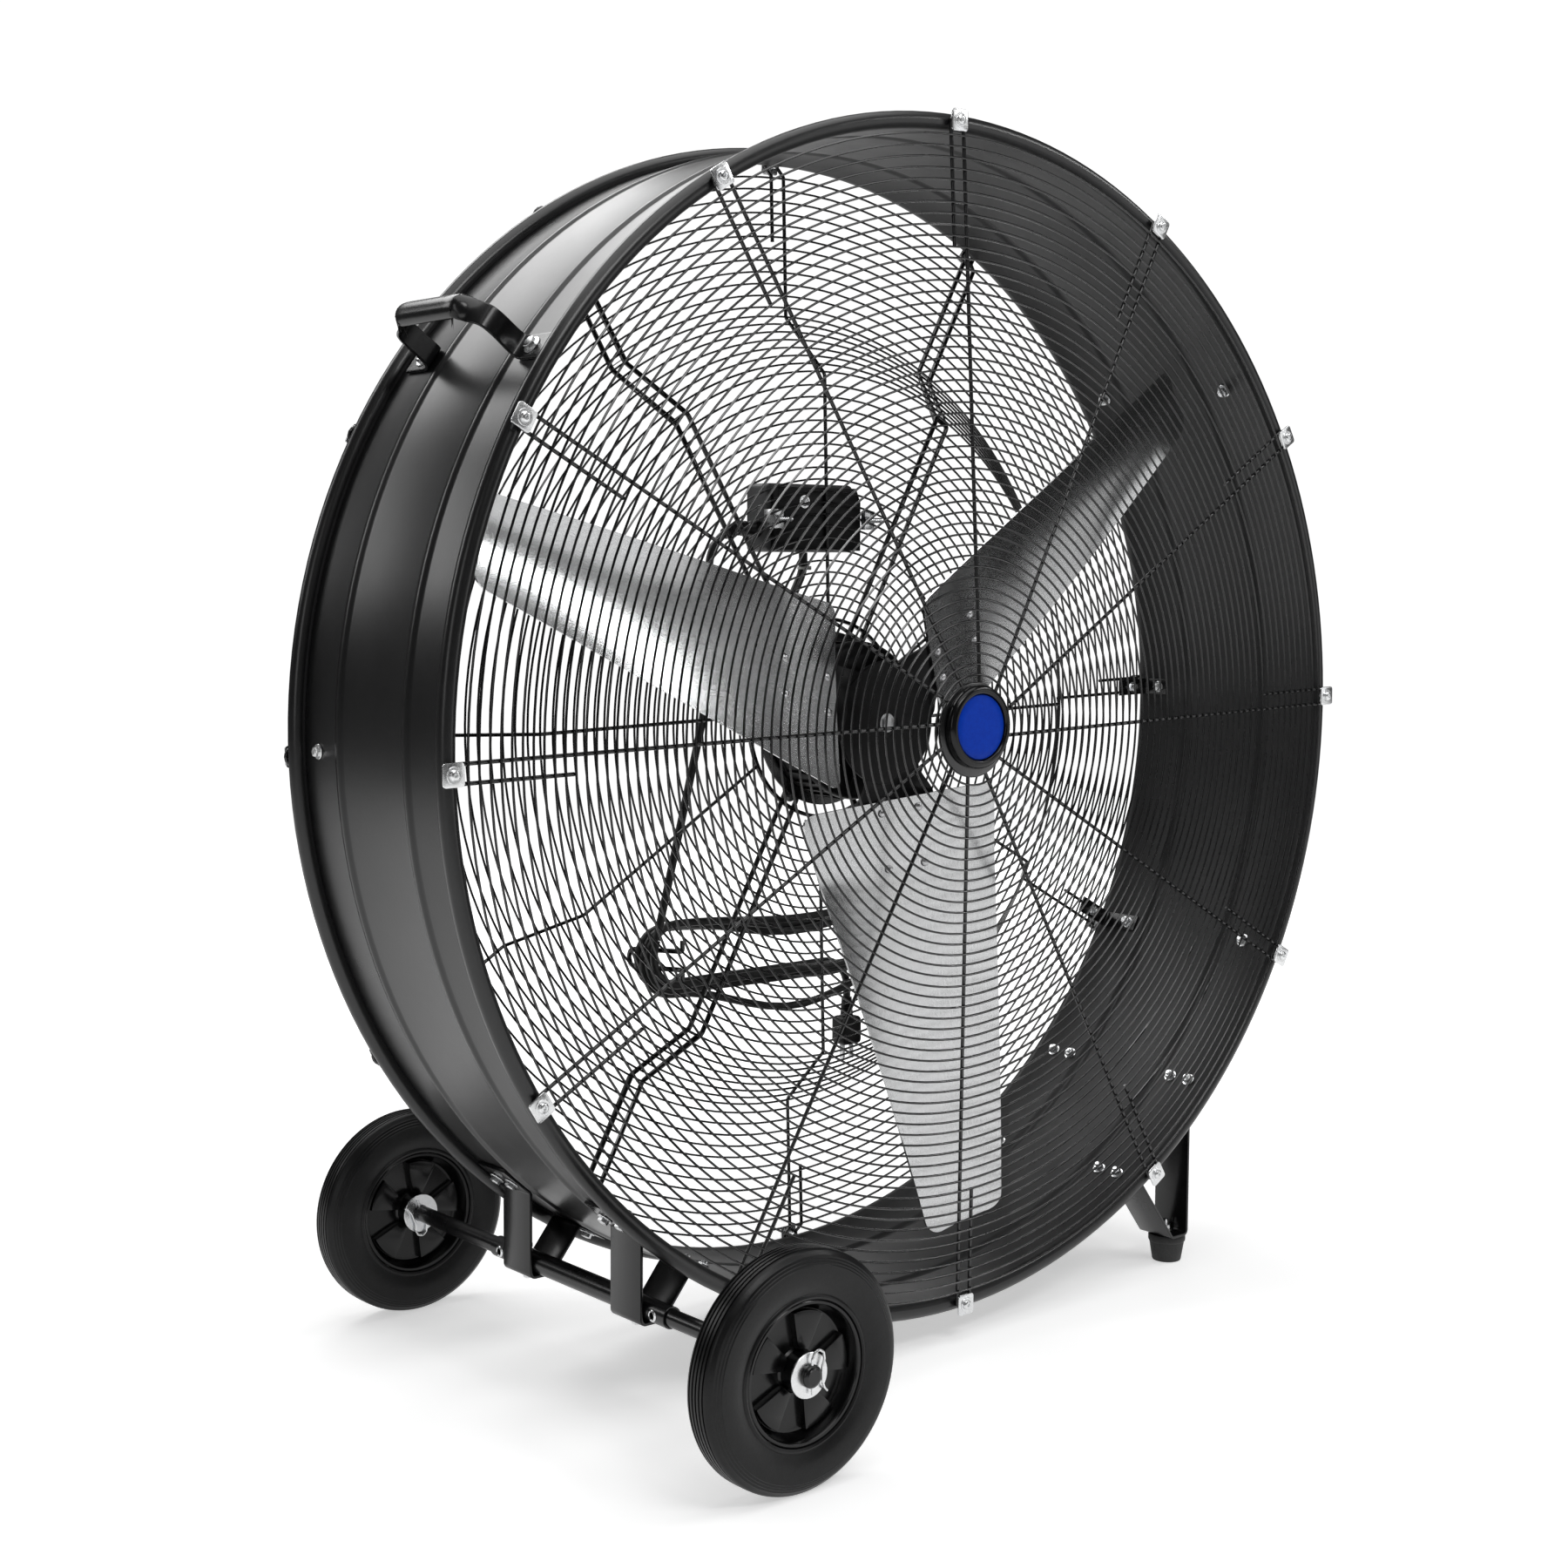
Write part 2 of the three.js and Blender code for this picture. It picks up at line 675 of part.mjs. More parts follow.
for (const [side, name] of [[-1, 'front'], [1, 'rear']]) {
  const from = side * strap.offset - strap.width / 2;
  const to = side * strap.offset + strap.width / 2;
  piece(onAxis, `leg_${name}`, stripAlongY(legLine, strap.sheet, from, to), blackPaint);
  piece(onAxis, `wheel_bracket_${name}`, stripAlongY(bracketLine, strap.sheet, from, to), blackPaint);
  piece(model, `rubber_foot_${name}`, footBlock(), blackRubber)
    .position.set(foot.x, side * strap.offset, 0);
}

// ---- axle and wheels ----
const axleFrame = new THREE.Group();
axleFrame.position.set(wheel.x, 0, wheel.radius);
model.add(axleFrame);

piece(axleFrame, 'axle_tube',
  sleeve(axle.radius + gap, axle.tubeRadius, -axle.tubeEnd, axle.tubeEnd, 16), blackPaint);

function axleBar() {
  const { radius, end, pinOffset } = axle;
  const bar = turned([
    [0, -end], [radius - 1.5, -end], [radius, -end + 1.5],
    [radius, end - 1.5], [radius - 1.5, end], [0, end],
  ], 16);
  const hole = () => disc(2.1, -12, 12, 8).rotateX(90 * degree);
  return cut(bar, hole().translate(0, pinOffset, 0), hole().translate(0, -pinOffset, 0));
}

piece(axleFrame, 'axle', axleBar(), blackPaint);

// The tyre has a flat facet on the floor.
function tyre() {
  const { radius, halfWidth, rim, segments } = wheel;
  const tread = radius / Math.cos((180 / segments) * degree);
  const seat = rim + 0.6;
  return turned([
    [seat, -14], [72, -halfWidth], [92, -halfWidth + 0.8], [tread, -10],
    [tread, 10], [92, halfWidth - 0.8], [72, halfWidth], [seat, 14],
  ], segments, (180 / segments) * degree);
}

function wheelRim() {
  const { rim, hub, hubHalf, panels, segments } = wheel;
  const bore = axle.radius + gap;
  const base = turned([
    [bore, -hubHalf], [hub, -hubHalf], [hub, -3], [50, -3], [rim, -13],
    [rim, 13], [50, 3], [hub, 3], [hub, hubHalf], [bore, hubHalf],
  ], segments, (180 / segments) * degree);
  const window = () => plateAlongY(polygon([around(-13, 25), around(-18, 42), around(18, 42),
    around(13, 25)]), -6, 6);
  const tools = [];
  for (let i = 0; i < panels; i++) tools.push(window().rotateY((i + 0.5) * (360 / panels) * degree));
  return cut(base, ...tools);
}

function washer() {
  return sleeve(axle.radius + gap, wheel.washer, 0, wheel.washerSheet, 14);
}

// A hairpin cotter: its straight leg goes through the axle and its bent leg goes round it.
function cotterPin() {
  const line = [[0, -15], [0, 14], [2.5, 19], [7.5, 21], [12, 18], [13, 12], [10.8, 6], [10.8, -6],
    [13, -12], [16, -15]];
  return wire(line.map(([x, z]) => [x, 0, z]), 2.2);
}

for (const [side, name] of [[-1, 'front'], [1, 'rear']]) {
  const hubEnd = wheel.hubHalf + gap;
  const { y, washerSheet } = wheel;
  piece(axleFrame, `tyre_${name}`, tyre(), blackRubber).position.y = side * y;
  piece(axleFrame, `wheel_rim_${name}`, wheelRim(), blackPaint).position.y = side * y;
  const outer = side > 0 ? y + hubEnd : -y - hubEnd - washerSheet;
  const inner = side > 0 ? y - hubEnd - washerSheet : -y + hubEnd;
  piece(axleFrame, `washer_outer_${name}`, washer(), zinc).position.y = outer;
  piece(axleFrame, `washer_inner_${name}`, washer(), zinc).position.y = inner;
  piece(axleFrame, `cotter_pin_${name}`, cotterPin(), zinc).position.y = side * axle.pinOffset;
}

// ---- control box ----
const boxShape = (inset, round) => roundedShape(box.left + inset, box.right - inset,
  box.bottom + inset, box.top - inset, round);
piece(onAxis, 'control_box', plateAlongY(boxShape(1.5, 4), box.face, box.split), blackPlastic);
piece(onAxis, 'control_box_cover',
  plateAlongY(boxShape(0, 5), box.split + gap, box.back), greyPlastic);

function speedKnob() {
  const base = turned([[0, 0], [knob.radius, 0], [knob.radius - 2, knob.height - 1],
    [knob.radius - 3.5, knob.height], [0, knob.height]], 16);
  const grip = plateAlongY(roundedShape(-3.2, 3.2, -knob.radius + 4, knob.radius - 1, 1.5),
    knob.height - 2, knob.height + 4);
  return join(base, grip);
}

piece(onAxis, 'speed_knob', speedKnob(), blackPlastic).position.set(knob.x, box.back + gap, knob.z);

function glandBody() {
  const { radius, length } = gland;
  const profile = [[0, 0], [radius, 0], [radius, 7], [radius - 2.6, length - 1.5],
    [radius - 3.4, length], [0, length]];
  return turned(profile, 16).rotateZ(90 * degree);
}

piece(onAxis, 'cord_gland', glandBody(), blackPlastic)
  .position.set(box.left - gap, gland.y, gland.z);

// ---- cords ----
class Bend extends THREE.Curve {
  constructor(start, into, centre, radius, angle) {
    super();
    Object.assign(this, { start, into, centre, radius, angle });
  }

  getPoint(share, target = new THREE.Vector3()) {
    const out = this.start.clone().sub(this.centre).multiplyScalar(Math.cos(share * this.angle));
    return target.copy(this.centre).add(out)
      .addScaledVector(this.into, this.radius * Math.sin(share * this.angle));
  }
}

// Straight stretches through the corners, each corner rounded to the bend radius.
function routed(corners, bend) {
  const route = new THREE.CurvePath();
  const points = corners.map(([x, y, z]) => new THREE.Vector3(x, y, z));
  let from = points[0];
  points.slice(1, -1).forEach((corner, i) => {
    const into = corner.clone().sub(points[i]).normalize();
    const out = points[i + 2].clone().sub(corner).normalize();
    const angle = into.angleTo(out);
    const trim = bend * Math.tan(angle / 2);
    const start = corner.clone().addScaledVector(into, -trim);
    const inward = out.clone().addScaledVector(into, -out.dot(into)).normalize();
    const centre = start.clone().addScaledVector(inward, bend);
    route.add(new THREE.LineCurve3(from, start));
    route.add(new Bend(start, into, centre, bend, angle));
    from = corner.clone().addScaledVector(out, trim);
  });
  route.add(new THREE.LineCurve3(from, points[points.length - 1]));
  return route;
}

function cable(route, radius, steps) {
  const section = new THREE.Shape();
  section.absarc(0, 0, radius, 0, 2 * Math.PI);
  return toGeometry(toSolid(new THREE.ExtrudeGeometry(section, {
    steps, extrudePath: route, bevelEnabled: false, curveSegments: cord.sides / 2,
  })));
}

const motorEntry = motor.back + gap + motor.plateSheet + cord.end;
piece(onAxis, 'motor_cable', cable(routed([
  [2, 100, box.bottom - cord.end], [2, 100, 148], [-18, 100, 112], [-18, 100, 62], [-18, motorEntry, 62],
], cord.motorBend), cord.motorRadius, 18), cordSkin);

// One turn of the hank: left bend, bottom run, right bend, then the top run climbs to the next layer.
function turnSize(turn) {
  const top = hank.top + turn * hank.topStep;
  const bottom = hank.bottoms[turn];
  const radius = (top - bottom) / 2;
  const y = hank.depth + turn * hank.depthStep;
  return { middle: (top + bottom) / 2, radius, half: hank.reach - radius, y };
}

function onBend(turn, side, angle) {
  const { middle, radius, half, y } = turnSize(turn);
  return [
    side * half + radius * Math.cos(angle * degree),
    y,
    middle + radius * Math.sin(angle * degree),
  ];
}

const runShares = [0.18, 0.34, 0.5, 0.66, 0.82];

// The centre line of the hank, from the lead down to the plug.
function hankLine() {
  const line = [];
  const bend = (turn, side, from, to, steps) => {
    for (let i = 0; i <= steps; i++) line.push(onBend(turn, side, mix(from, to, i / steps)));
  };
  const entry = onBend(0, -1, hank.start);
  const straight = 2 * cord.radius;
  line.push([
    entry[0] + straight * Math.sin(hank.start * degree),
    entry[1],
    entry[2] - straight * Math.cos(hank.start * degree),
  ]);
  for (let turn = 0; turn < hank.turns; turn++) {
    bend(turn, -1, turn ? 90 : hank.start, 270, turn ? 7 : 5);
    const { y, middle, radius, half } = turnSize(turn);
    for (const share of runShares) {
      const sag = hank.bottomSags[turn] * Math.sin(share * Math.PI) ** 2;
      line.push([half * (2 * share - 1), y, middle - radius - sag]);
    }
    bend(turn, 1, -90, 90, 7);
    const here = onBend(turn, 1, 90);
    const next = onBend(turn + 1, -1, 90);
    for (const share of runShares) {
      const climb = share * share * (3 - 2 * share);
      const sag = hank.topSags[turn] * Math.sin(share * Math.PI) ** 2;
      const height = mix(here[2], next[2], climb) - sag;
      line.push([mix(here[0], next[0], share), mix(here[1], next[1], climb), height]);
    }
  }
  bend(hank.turns, -1, 90, 270, 8);
  const { y, middle, radius } = turnSize(hank.turns);
  const low = middle - radius;
  for (const angle of [0, 22.5, 45, 67.5, 90]) {
    line.push([
      hank.plugX - hank.exitBend * (1 - Math.sin(angle * degree)),
      y,
      low - hank.exitBend * (1 - Math.cos(angle * degree)),
    ]);
  }
  line.push([hank.plugX, y, hank.plugTop]);
  return line.map((point) => new THREE.Vector3(...point));
}

// A round tube round a line of points, its section carried along without twist.
function tube(line, radius, sides) {
  const positions = [];
  const tangents = line.map((point, i) => {
    const before = line[Math.max(i - 1, 0)];
    const after = line[Math.min(i + 1, line.length - 1)];
    const into = point.clone().sub(before).normalize();
    return after.clone().sub(point).normalize().add(into).normalize();
  });
  const side = new THREE.Vector3(Math.abs(tangents[0].y) > 0.9 ? 1 : 0, 1, 0);
  line.forEach((point, i) => {
    const tangent = tangents[i];
    side.addScaledVector(tangent, -side.dot(tangent)).normalize();
    const other = new THREE.Vector3().crossVectors(tangent, side);
    for (let j = 0; j < sides; j++) {
      const angle = (j / sides) * 2 * Math.PI;
      const at = point.clone().addScaledVector(side, radius * Math.cos(angle))
        .addScaledVector(other, radius * Math.sin(angle));
      positions.push(at.x, at.y, at.z);
    }
  });
  return lofted(positions, line.length, sides);
}

// The least clear space between two parts of a line that are not next to each other.
function leastGap(line, diameter) {
  const points = [];
  const lengths = [];
  let length = 0;
  line.slice(1).forEach((point, i) => {
    const steps = Math.max(1, Math.round(point.distanceTo(line[i]) / 3));
    for (let j = 0; j < steps; j++) {
      points.push(line[i].clone().lerp(point, j / steps));
      lengths.push(length + (j / steps) * point.distanceTo(line[i]));
    }
    length += point.distanceTo(line[i]);
  });
  let least = Infinity;
  points.forEach((point, i) => {
    for (let j = i + 1; j < points.length; j++) {
      if (lengths[j] - lengths[i] > 6 * diameter) least = Math.min(least, point.distanceTo(points[j]));
    }
  });
  return { gap: least - diameter, length };
}

const loops = hankLine();
piece(onAxis, 'cord_hank', tube(loops, cord.radius, hank.sides), cordSkin);

// The lead comes down from the gland and meets the hank square.
function leadRoute() {
  const into = loops[1].clone().sub(loops[0]).normalize();
  const end = loops[0].clone().addScaledVector(into, -cord.end);
  const bendPoint = end.clone().addScaledVector(into, (5 - end.z) / into.z);
  const start = [box.left - gap - gland.length - cord.end, gland.y, gland.z];
  const turn = [start[0] - 45, gland.y, gland.z];
  return routed([start, turn, bendPoint.toArray(), end.toArray()], cord.leadBend);
}

const lead = leadRoute();
piece(onAxis, 'cord_lead', cable(lead, cord.radius, 36), cordSkin);

const { gap: clearance, length: hankLength } = leastGap(loops, 2 * cord.radius);
console.log(`hank: least gap ${clearance.toFixed(2)} mm, length ${hankLength.toFixed(0)} mm`);
console.log(`lead: length ${lead.getLength().toFixed(0)} mm`);

// ---- plug ----
function plugBody() {
  const relief = turned([[0, 0], [7, 0], [5.4, 22], [0, 22]], 12).rotateX(90 * degree);
  const body = plateAlongY(roundedShape(-13, 13, -28, 2, 5), -10, 10);
  const blade = (x) => block(x - 0.8, x + 0.8, -3.2, 3.2, -45, -27);
  const earth = disc(2.4, 0, 19, 8).rotateX(-90 * degree).translate(0, 6, -27);
  return join(relief, body, blade(-6.35), blade(6.35), earth);
}

function block(x0, x1, y0, y1, z0, z1) {
  return new THREE.BoxGeometry(x1 - x0, y1 - y0, z1 - z0)
    .translate((x0 + x1) / 2, (y0 + y1) / 2, (z0 + z1) / 2);
}

piece(onAxis, 'power_plug', plugBody(), blackPlastic)
  .position.set(hank.plugX, turnSize(hank.turns).y, hank.plugTop - cord.end - 22);

// ---- hooks that carry the hank ----
// A bent wire: a short foot at each end lies on the grille and the two legs meet in a round tip.
function cordHook(side) {
  const { x, tipX, tip, high, low, drop, foot: toe, wire: size } = hook;
  const seat = rear.innerDepth - (rear.wire + rear.ring) / 2 + 0.6 + (rear.ring + size) / 2 + gap;
  const half = (high - low) / 2;
  const line = [
    [x, seat, high + toe], [x, seat, high + 3], [x, seat + 1, high + 0.9], [x, seat + 4, high],
    [tipX, tip - half, high - drop], [tipX, tip - 0.3 * half, high - drop - 0.3 * half],
    [tipX, tip, (high + low) / 2 - drop],
    [tipX, tip - 0.3 * half, low - drop + 0.3 * half], [tipX, tip - half, low - drop],
    [x, seat + 4, low], [x, seat + 1, low - 0.9], [x, seat, low - 3], [x, seat, low - toe],
  ];
  return tube(line.map(([a, y, z]) => new THREE.Vector3(side * a, y, z)), size / 2, 5);
}

piece(onAxis, 'cord_hook_left', cordHook(-1), blackWire);
piece(onAxis, 'cord_hook_right', cordHook(1), blackWire);

export default model;
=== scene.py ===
import math
import bpy
import bmesh
from mathutils import Matrix, Vector


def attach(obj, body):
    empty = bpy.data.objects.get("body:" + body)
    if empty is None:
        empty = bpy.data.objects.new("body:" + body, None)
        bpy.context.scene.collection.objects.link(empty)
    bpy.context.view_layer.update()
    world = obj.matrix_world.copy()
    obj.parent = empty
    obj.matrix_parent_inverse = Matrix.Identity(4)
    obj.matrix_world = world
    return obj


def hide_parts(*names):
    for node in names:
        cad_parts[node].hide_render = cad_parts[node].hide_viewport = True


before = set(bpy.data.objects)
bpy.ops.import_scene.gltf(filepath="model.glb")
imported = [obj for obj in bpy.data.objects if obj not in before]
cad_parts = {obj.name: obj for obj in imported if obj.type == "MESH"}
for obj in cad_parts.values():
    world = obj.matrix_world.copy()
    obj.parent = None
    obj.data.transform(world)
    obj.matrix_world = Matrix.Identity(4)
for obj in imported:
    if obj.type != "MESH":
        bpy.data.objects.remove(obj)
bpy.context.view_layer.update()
gap = 0.35  # room between two pieces


def movedTo(x, y, z):
    return Matrix.Translation((x, y, z))


def turnedBy(degrees, axis):
    return Matrix.Rotation(math.radians(degrees), 4, axis)


# pieces are drawn in millimetres from the fan axis, then set in the part's own metres
fromAxis = movedTo(0, 0, 0.599) @ Matrix.Scale(0.001, 4)
fromFloor = Matrix.Scale(0.001, 4)


def clockTurn(clock):  # degrees clockwise from the top, seen from the front
    return turnedBy(clock, "Y")


def atClock(clock, radius, y):  # +Z points outwards there and +X clockwise
    return clockTurn(clock) @ movedTo(0, y, radius)


def toFront(x, y, z):  # +Z of a fastener points to the front there
    return movedTo(x, y, z) @ turnedBy(90, "X")


def toBack(x, y, z):
    return movedTo(x, y, z) @ turnedBy(-90, "X")


# camera at the photograph's place
camera = {"place": (-1.511, -1.6654, 0.7527), "azimuth": -40.1317, "elevation": 5.5018, "roll": 0.145, "lens": 52.12}


def setCamera():
    azimuth, elevation, roll = (math.radians(camera[k]) for k in ("azimuth", "elevation", "roll"))
    back = Vector((math.sin(azimuth) * math.cos(elevation), -math.cos(azimuth) * math.cos(elevation),
                   math.sin(elevation)))
    right = Vector((math.cos(azimuth), math.sin(azimuth), 0))
    up = back.cross(right)
    right, up = right * math.cos(roll) + up * math.sin(roll), up * math.cos(roll) - right * math.sin(roll)
    seen = bpy.data.objects.new("photoCamera", bpy.data.cameras.new("photoCamera"))
    turn = Matrix((right, up, back)).transposed().to_4x4()
    seen.matrix_world = Matrix.Translation(camera["place"]) @ turn
    seen.data.lens = camera["lens"]
    seen.data.sensor_width = 36
    seen.data.clip_start = 0.05
    bpy.context.scene.collection.objects.link(seen)
    bpy.context.scene.camera = seen


setCamera()
print("camera set")


# shader groups, each built once and placed in many finishes
def newGroup(name, inputs, outputs):
    tree = bpy.data.node_groups.new(name, "ShaderNodeTree")
    for label, kind, value in inputs:
        socket = tree.interface.new_socket(name=label, in_out="INPUT", socket_type=kind)
        if value is not None:
            socket.default_value = value
    for label, kind in outputs:
        tree.interface.new_socket(name=label, in_out="OUTPUT", socket_type=kind)
    return tree, tree.nodes.new("NodeGroupInput"), tree.nodes.new("NodeGroupOutput")


def addNode(tree, kind, **settings):
    node = tree.nodes.new(kind)
    for name, value in settings.items():
        if name.startswith("in_"):
            node.inputs[name[3:].replace("_", " ")].default_value = value
        else:
            setattr(node, name, value)
    return node


def addMath(tree, operation, first, second):
    node = addNode(tree, "ShaderNodeMath", operation=operation)
    for socket, value in zip(node.inputs, (first, second)):
        if isinstance(value, (int, float)):
            socket.default_value = value
        else:
            tree.links.new(value, socket)
    return node.outputs[0]


def spread(tree, value, low, high, fromLow=0.3, fromHigh=0.7):
    node = addNode(tree, "ShaderNodeMapRange")
    tree.links.new(value, node.inputs["Value"])
    for name, number in (("From Min", fromLow), ("From Max", fromHigh), ("To Min", low), ("To Max", high)):
        if isinstance(number, (int, float)):
            node.inputs[name].default_value = number
        else:
            tree.links.new(number, node.inputs[name])
    return node.outputs[0]


def makePebble():  # the fine skin of a sprayed or moulded surface
    tree, given, made = newGroup("sprayedPebble",
                                 [("Vector", "NodeSocketVector", None), ("Scale", "NodeSocketFloat", 600)],
                                 [("Height", "NodeSocketFloat"), ("Mask", "NodeSocketFloat")])
    fine = addNode(tree, "ShaderNodeTexNoise", in_Detail=2.0, in_Roughness=0.5)
    tree.links.new(given.outputs["Vector"], fine.inputs["Vector"])
    tree.links.new(given.outputs["Scale"], fine.inputs["Scale"])
    broad = addNode(tree, "ShaderNodeTexNoise", in_Detail=1.0)
    tree.links.new(given.outputs["Vector"], broad.inputs["Vector"])
    tree.links.new(addMath(tree, "MULTIPLY", given.outputs["Scale"], 0.23), broad.inputs["Scale"])
    both = addMath(tree, "ADD", fine.outputs[0], addMath(tree, "MULTIPLY", broad.outputs[0], 0.8))
    tree.links.new(both, made.inputs["Height"])
    tree.links.new(spread(tree, both, 0.0, 1.0, 0.65, 1.1), made.inputs["Mask"])
    return tree


def makeMottle():  # slow change over a surface: handling, dust and an uneven coat
    tree, given, made = newGroup("slowMottle", [("Vector", "NodeSocketVector", None), ("Scale", "NodeSocketFloat", 6),
                                               ("Low", "NodeSocketFloat", 0), ("High", "NodeSocketFloat", 1)],
                                 [("Value", "NodeSocketFloat"), ("Specks", "NodeSocketFloat")])
    cloud = addNode(tree, "ShaderNodeTexNoise", in_Detail=4.0, in_Roughness=0.6, in_Distortion=0.4)
    tree.links.new(given.outputs["Vector"], cloud.inputs["Vector"])
    tree.links.new(given.outputs["Scale"], cloud.inputs["Scale"])
    tree.links.new(spread(tree, cloud.outputs[0], given.outputs["Low"], given.outputs["High"]), made.inputs["Value"])
    speck = addNode(tree, "ShaderNodeTexVoronoi", feature="F1")
    tree.links.new(given.outputs["Vector"], speck.inputs["Vector"])
    tree.links.new(addMath(tree, "MULTIPLY", given.outputs["Scale"], 28), speck.inputs["Scale"])
    near = spread(tree, speck.outputs["Distance"], 1.0, 0.0, 0.02, 0.09)
    tree.links.new(addMath(tree, "MULTIPLY", near, spread(tree, cloud.outputs[0], 0.0, 1.0, 0.5, 0.7)),
                   made.inputs["Specks"])
    return tree


def makeGrain():  # rolled or brushed metal, its lines along the vector's Y
    tree, given, made = newGroup("drawnGrain",
                                 [("Vector", "NodeSocketVector", None), ("Scale", "NodeSocketFloat", 300),
                                               ("Stretch", "NodeSocketFloat", 0.08)],
                                 [("Height", "NodeSocketFloat"), ("Shade", "NodeSocketFloat")])
    pull = addNode(tree, "ShaderNodeVectorMath", operation="MULTIPLY")
    tree.links.new(given.outputs["Vector"], pull.inputs[0])
    axes = addNode(tree, "ShaderNodeCombineXYZ", in_X=1.0, in_Z=1.0)
    tree.links.new(given.outputs["Stretch"], axes.inputs["Y"])
    tree.links.new(axes.outputs[0], pull.inputs[1])
    lines = addNode(tree, "ShaderNodeTexNoise", in_Detail=5.0, in_Roughness=0.65)
    tree.links.new(pull.outputs[0], lines.inputs["Vector"])
    tree.links.new(given.outputs["Scale"], lines.inputs["Scale"])
    grit = addNode(tree, "ShaderNodeTexNoise", in_Detail=2.0, in_Roughness=0.7)
    tree.links.new(given.outputs["Vector"], grit.inputs["Vector"])
    tree.links.new(addMath(tree, "MULTIPLY", given.outputs["Scale"], 1.6), grit.inputs["Scale"])
    both = addMath(tree, "ADD", addMath(tree, "MULTIPLY", lines.outputs[0], 0.6),
                   addMath(tree, "MULTIPLY", grit.outputs[0], 0.4))
    tree.links.new(both, made.inputs["Height"])
    tree.links.new(spread(tree, both, 0.0, 1.0, 0.36, 0.64), made.inputs["Shade"])
    return tree


pebble, mottle, grain = makePebble(), makeMottle(), makeGrain()


def placeGroup(tree, group, vector, **values):
    node = addNode(tree, "ShaderNodeGroup", node_tree=group)
    tree.links.new(vector, node.inputs["Vector"])
    for name, value in values.items():
        node.inputs[name.capitalize()].default_value = value
    return node


def newFinish(name, look):
    finish = bpy.data.materials.new(name)
    finish.use_nodes = True
    tree = finish.node_tree
    shader = tree.nodes["Principled BSDF"]
    for socket, value in look.get("set", {}).items():
        shader.inputs[socket].default_value = value
    if look.get("uv"):
        where = addNode(tree, "ShaderNodeUVMap", uv_map=look["uv"]).outputs[0]
    else:
        where = addNode(tree, "ShaderNodeTexCoord").outputs["Object"]
    return finish, tree, shader, where


def blendColours(tree, share, first, second):
    mixer = addNode(tree, "ShaderNodeMix", data_type="RGBA")
    tree.links.new(share, mixer.inputs["Factor"])
    for socket, colour in zip([s for s in mixer.inputs if s.type == "RGBA"], (first, second)):
        if isinstance(colour, tuple):
            socket.default_value = (*colour, 1)
        else:
            tree.links.new(colour, socket)
    return next(s for s in mixer.outputs if s.type == "RGBA")


def coated(name, look):  # paint, plastic and rubber
    finish, tree, shader, where = newFinish(name, look)
    skin = placeGroup(tree, pebble, where, scale=look["pebble"])
    wear = placeGroup(tree, mottle, where, scale=look["mottle"], low=look["rough"][0], high=look["rough"][1])
    tree.links.new(wear.outputs["Value"], shader.inputs["Roughness"])
    base = blendColours(tree, skin.outputs["Mask"], look["deep"], look["light"])
    tree.links.new(blendColours(tree, addMath(tree, "MULTIPLY", wear.outputs["Specks"], look["dust"]), base,
                                (0.3, 0.3, 0.29)),
                   shader.inputs["Base Color"])
    bump = addNode(tree, "ShaderNodeBump", in_Strength=look["strength"], in_Distance=look["height"])
    tree.links.new(skin.outputs["Height"], bump.inputs["Height"])
    tree.links.new(bump.outputs[0], shader.inputs["Normal"])
    return finish


def metal(name, look):  # bare and plated metal
    finish, tree, shader, where = newFinish(name, look)
    lines = placeGroup(tree, grain, where, scale=look["scale"], stretch=look["stretch"])
    wear = placeGroup(tree, mottle, where, scale=look["mottle"], low=look["rough"][0], high=look["rough"][1])
    base = blendColours(tree, lines.outputs["Shade"], look["deep"], look["light"])
    cloud = blendColours(tree, spread(tree, wear.outputs["Value"], 0.0, 0.5, look["rough"][0], look["rough"][1]), base,
                         look["cloud"])
    tree.links.new(cloud, shader.inputs["Base Color"])
    uneven = addMath(tree, "ADD", wear.outputs["Value"],
                     spread(tree, lines.outputs["Shade"], -look["grit"], look["grit"], 0.0, 1.0))
    tree.links.new(uneven, shader.inputs["Roughness"])
    bump = addNode(tree, "ShaderNodeBump", in_Strength=look["strength"], in_Distance=look["height"])
    tree.links.new(lines.outputs["Height"], bump.inputs["Height"])
    tree.links.new(bump.outputs[0], shader.inputs["Normal"])
    return finish


drumPaint = coated("drumPaint", {
    "deep": (0.0030, 0.0030, 0.0033), "light": (0.0052, 0.0052, 0.0056), "rough": (0.27, 0.34), "pebble": 420,
    "mottle": 5,
    "dust": 0.02, "strength": 0.06, "height": 0.0004, "set": {"IOR": 1.55}})
insidePaintedSheen = coated("insidePaintedSheen", {  # the drum paint again on the drum's inner face: rougher and duller, and its colour lighter than outside as painted sheen for the grey light the inner wall catches
    "deep": (0.014, 0.014, 0.0145), "light": (0.019, 0.019, 0.0195), "rough": (0.42, 0.52), "pebble": 520, "mottle": 6,
    "dust": 0.03, "strength": 0.14, "height": 0.0003, "set": {"IOR": 1.4}})
fittingPaint = coated("fittingPaint", {
    "deep": (0.003, 0.003, 0.0033), "light": (0.006, 0.006, 0.0065), "rough": (0.20, 0.30), "pebble": 700,
    "mottle": 14,
    "dust": 0.03, "strength": 0.08, "height": 0.0003,
    "set": {"Coat Weight": 0.2, "Coat Roughness": 0.14, "IOR": 1.42}})
wireCoat = coated("wireCoat", {
    "deep": (0.003, 0.003, 0.0033), "light": (0.0055, 0.0055, 0.006), "rough": (0.20, 0.32), "pebble": 900,
    "mottle": 22,
    "dust": 0.02, "strength": 0.08, "height": 0.0002, "set": {"Coat Weight": 0.4, "Coat Roughness": 0.12, "IOR": 1.5}})
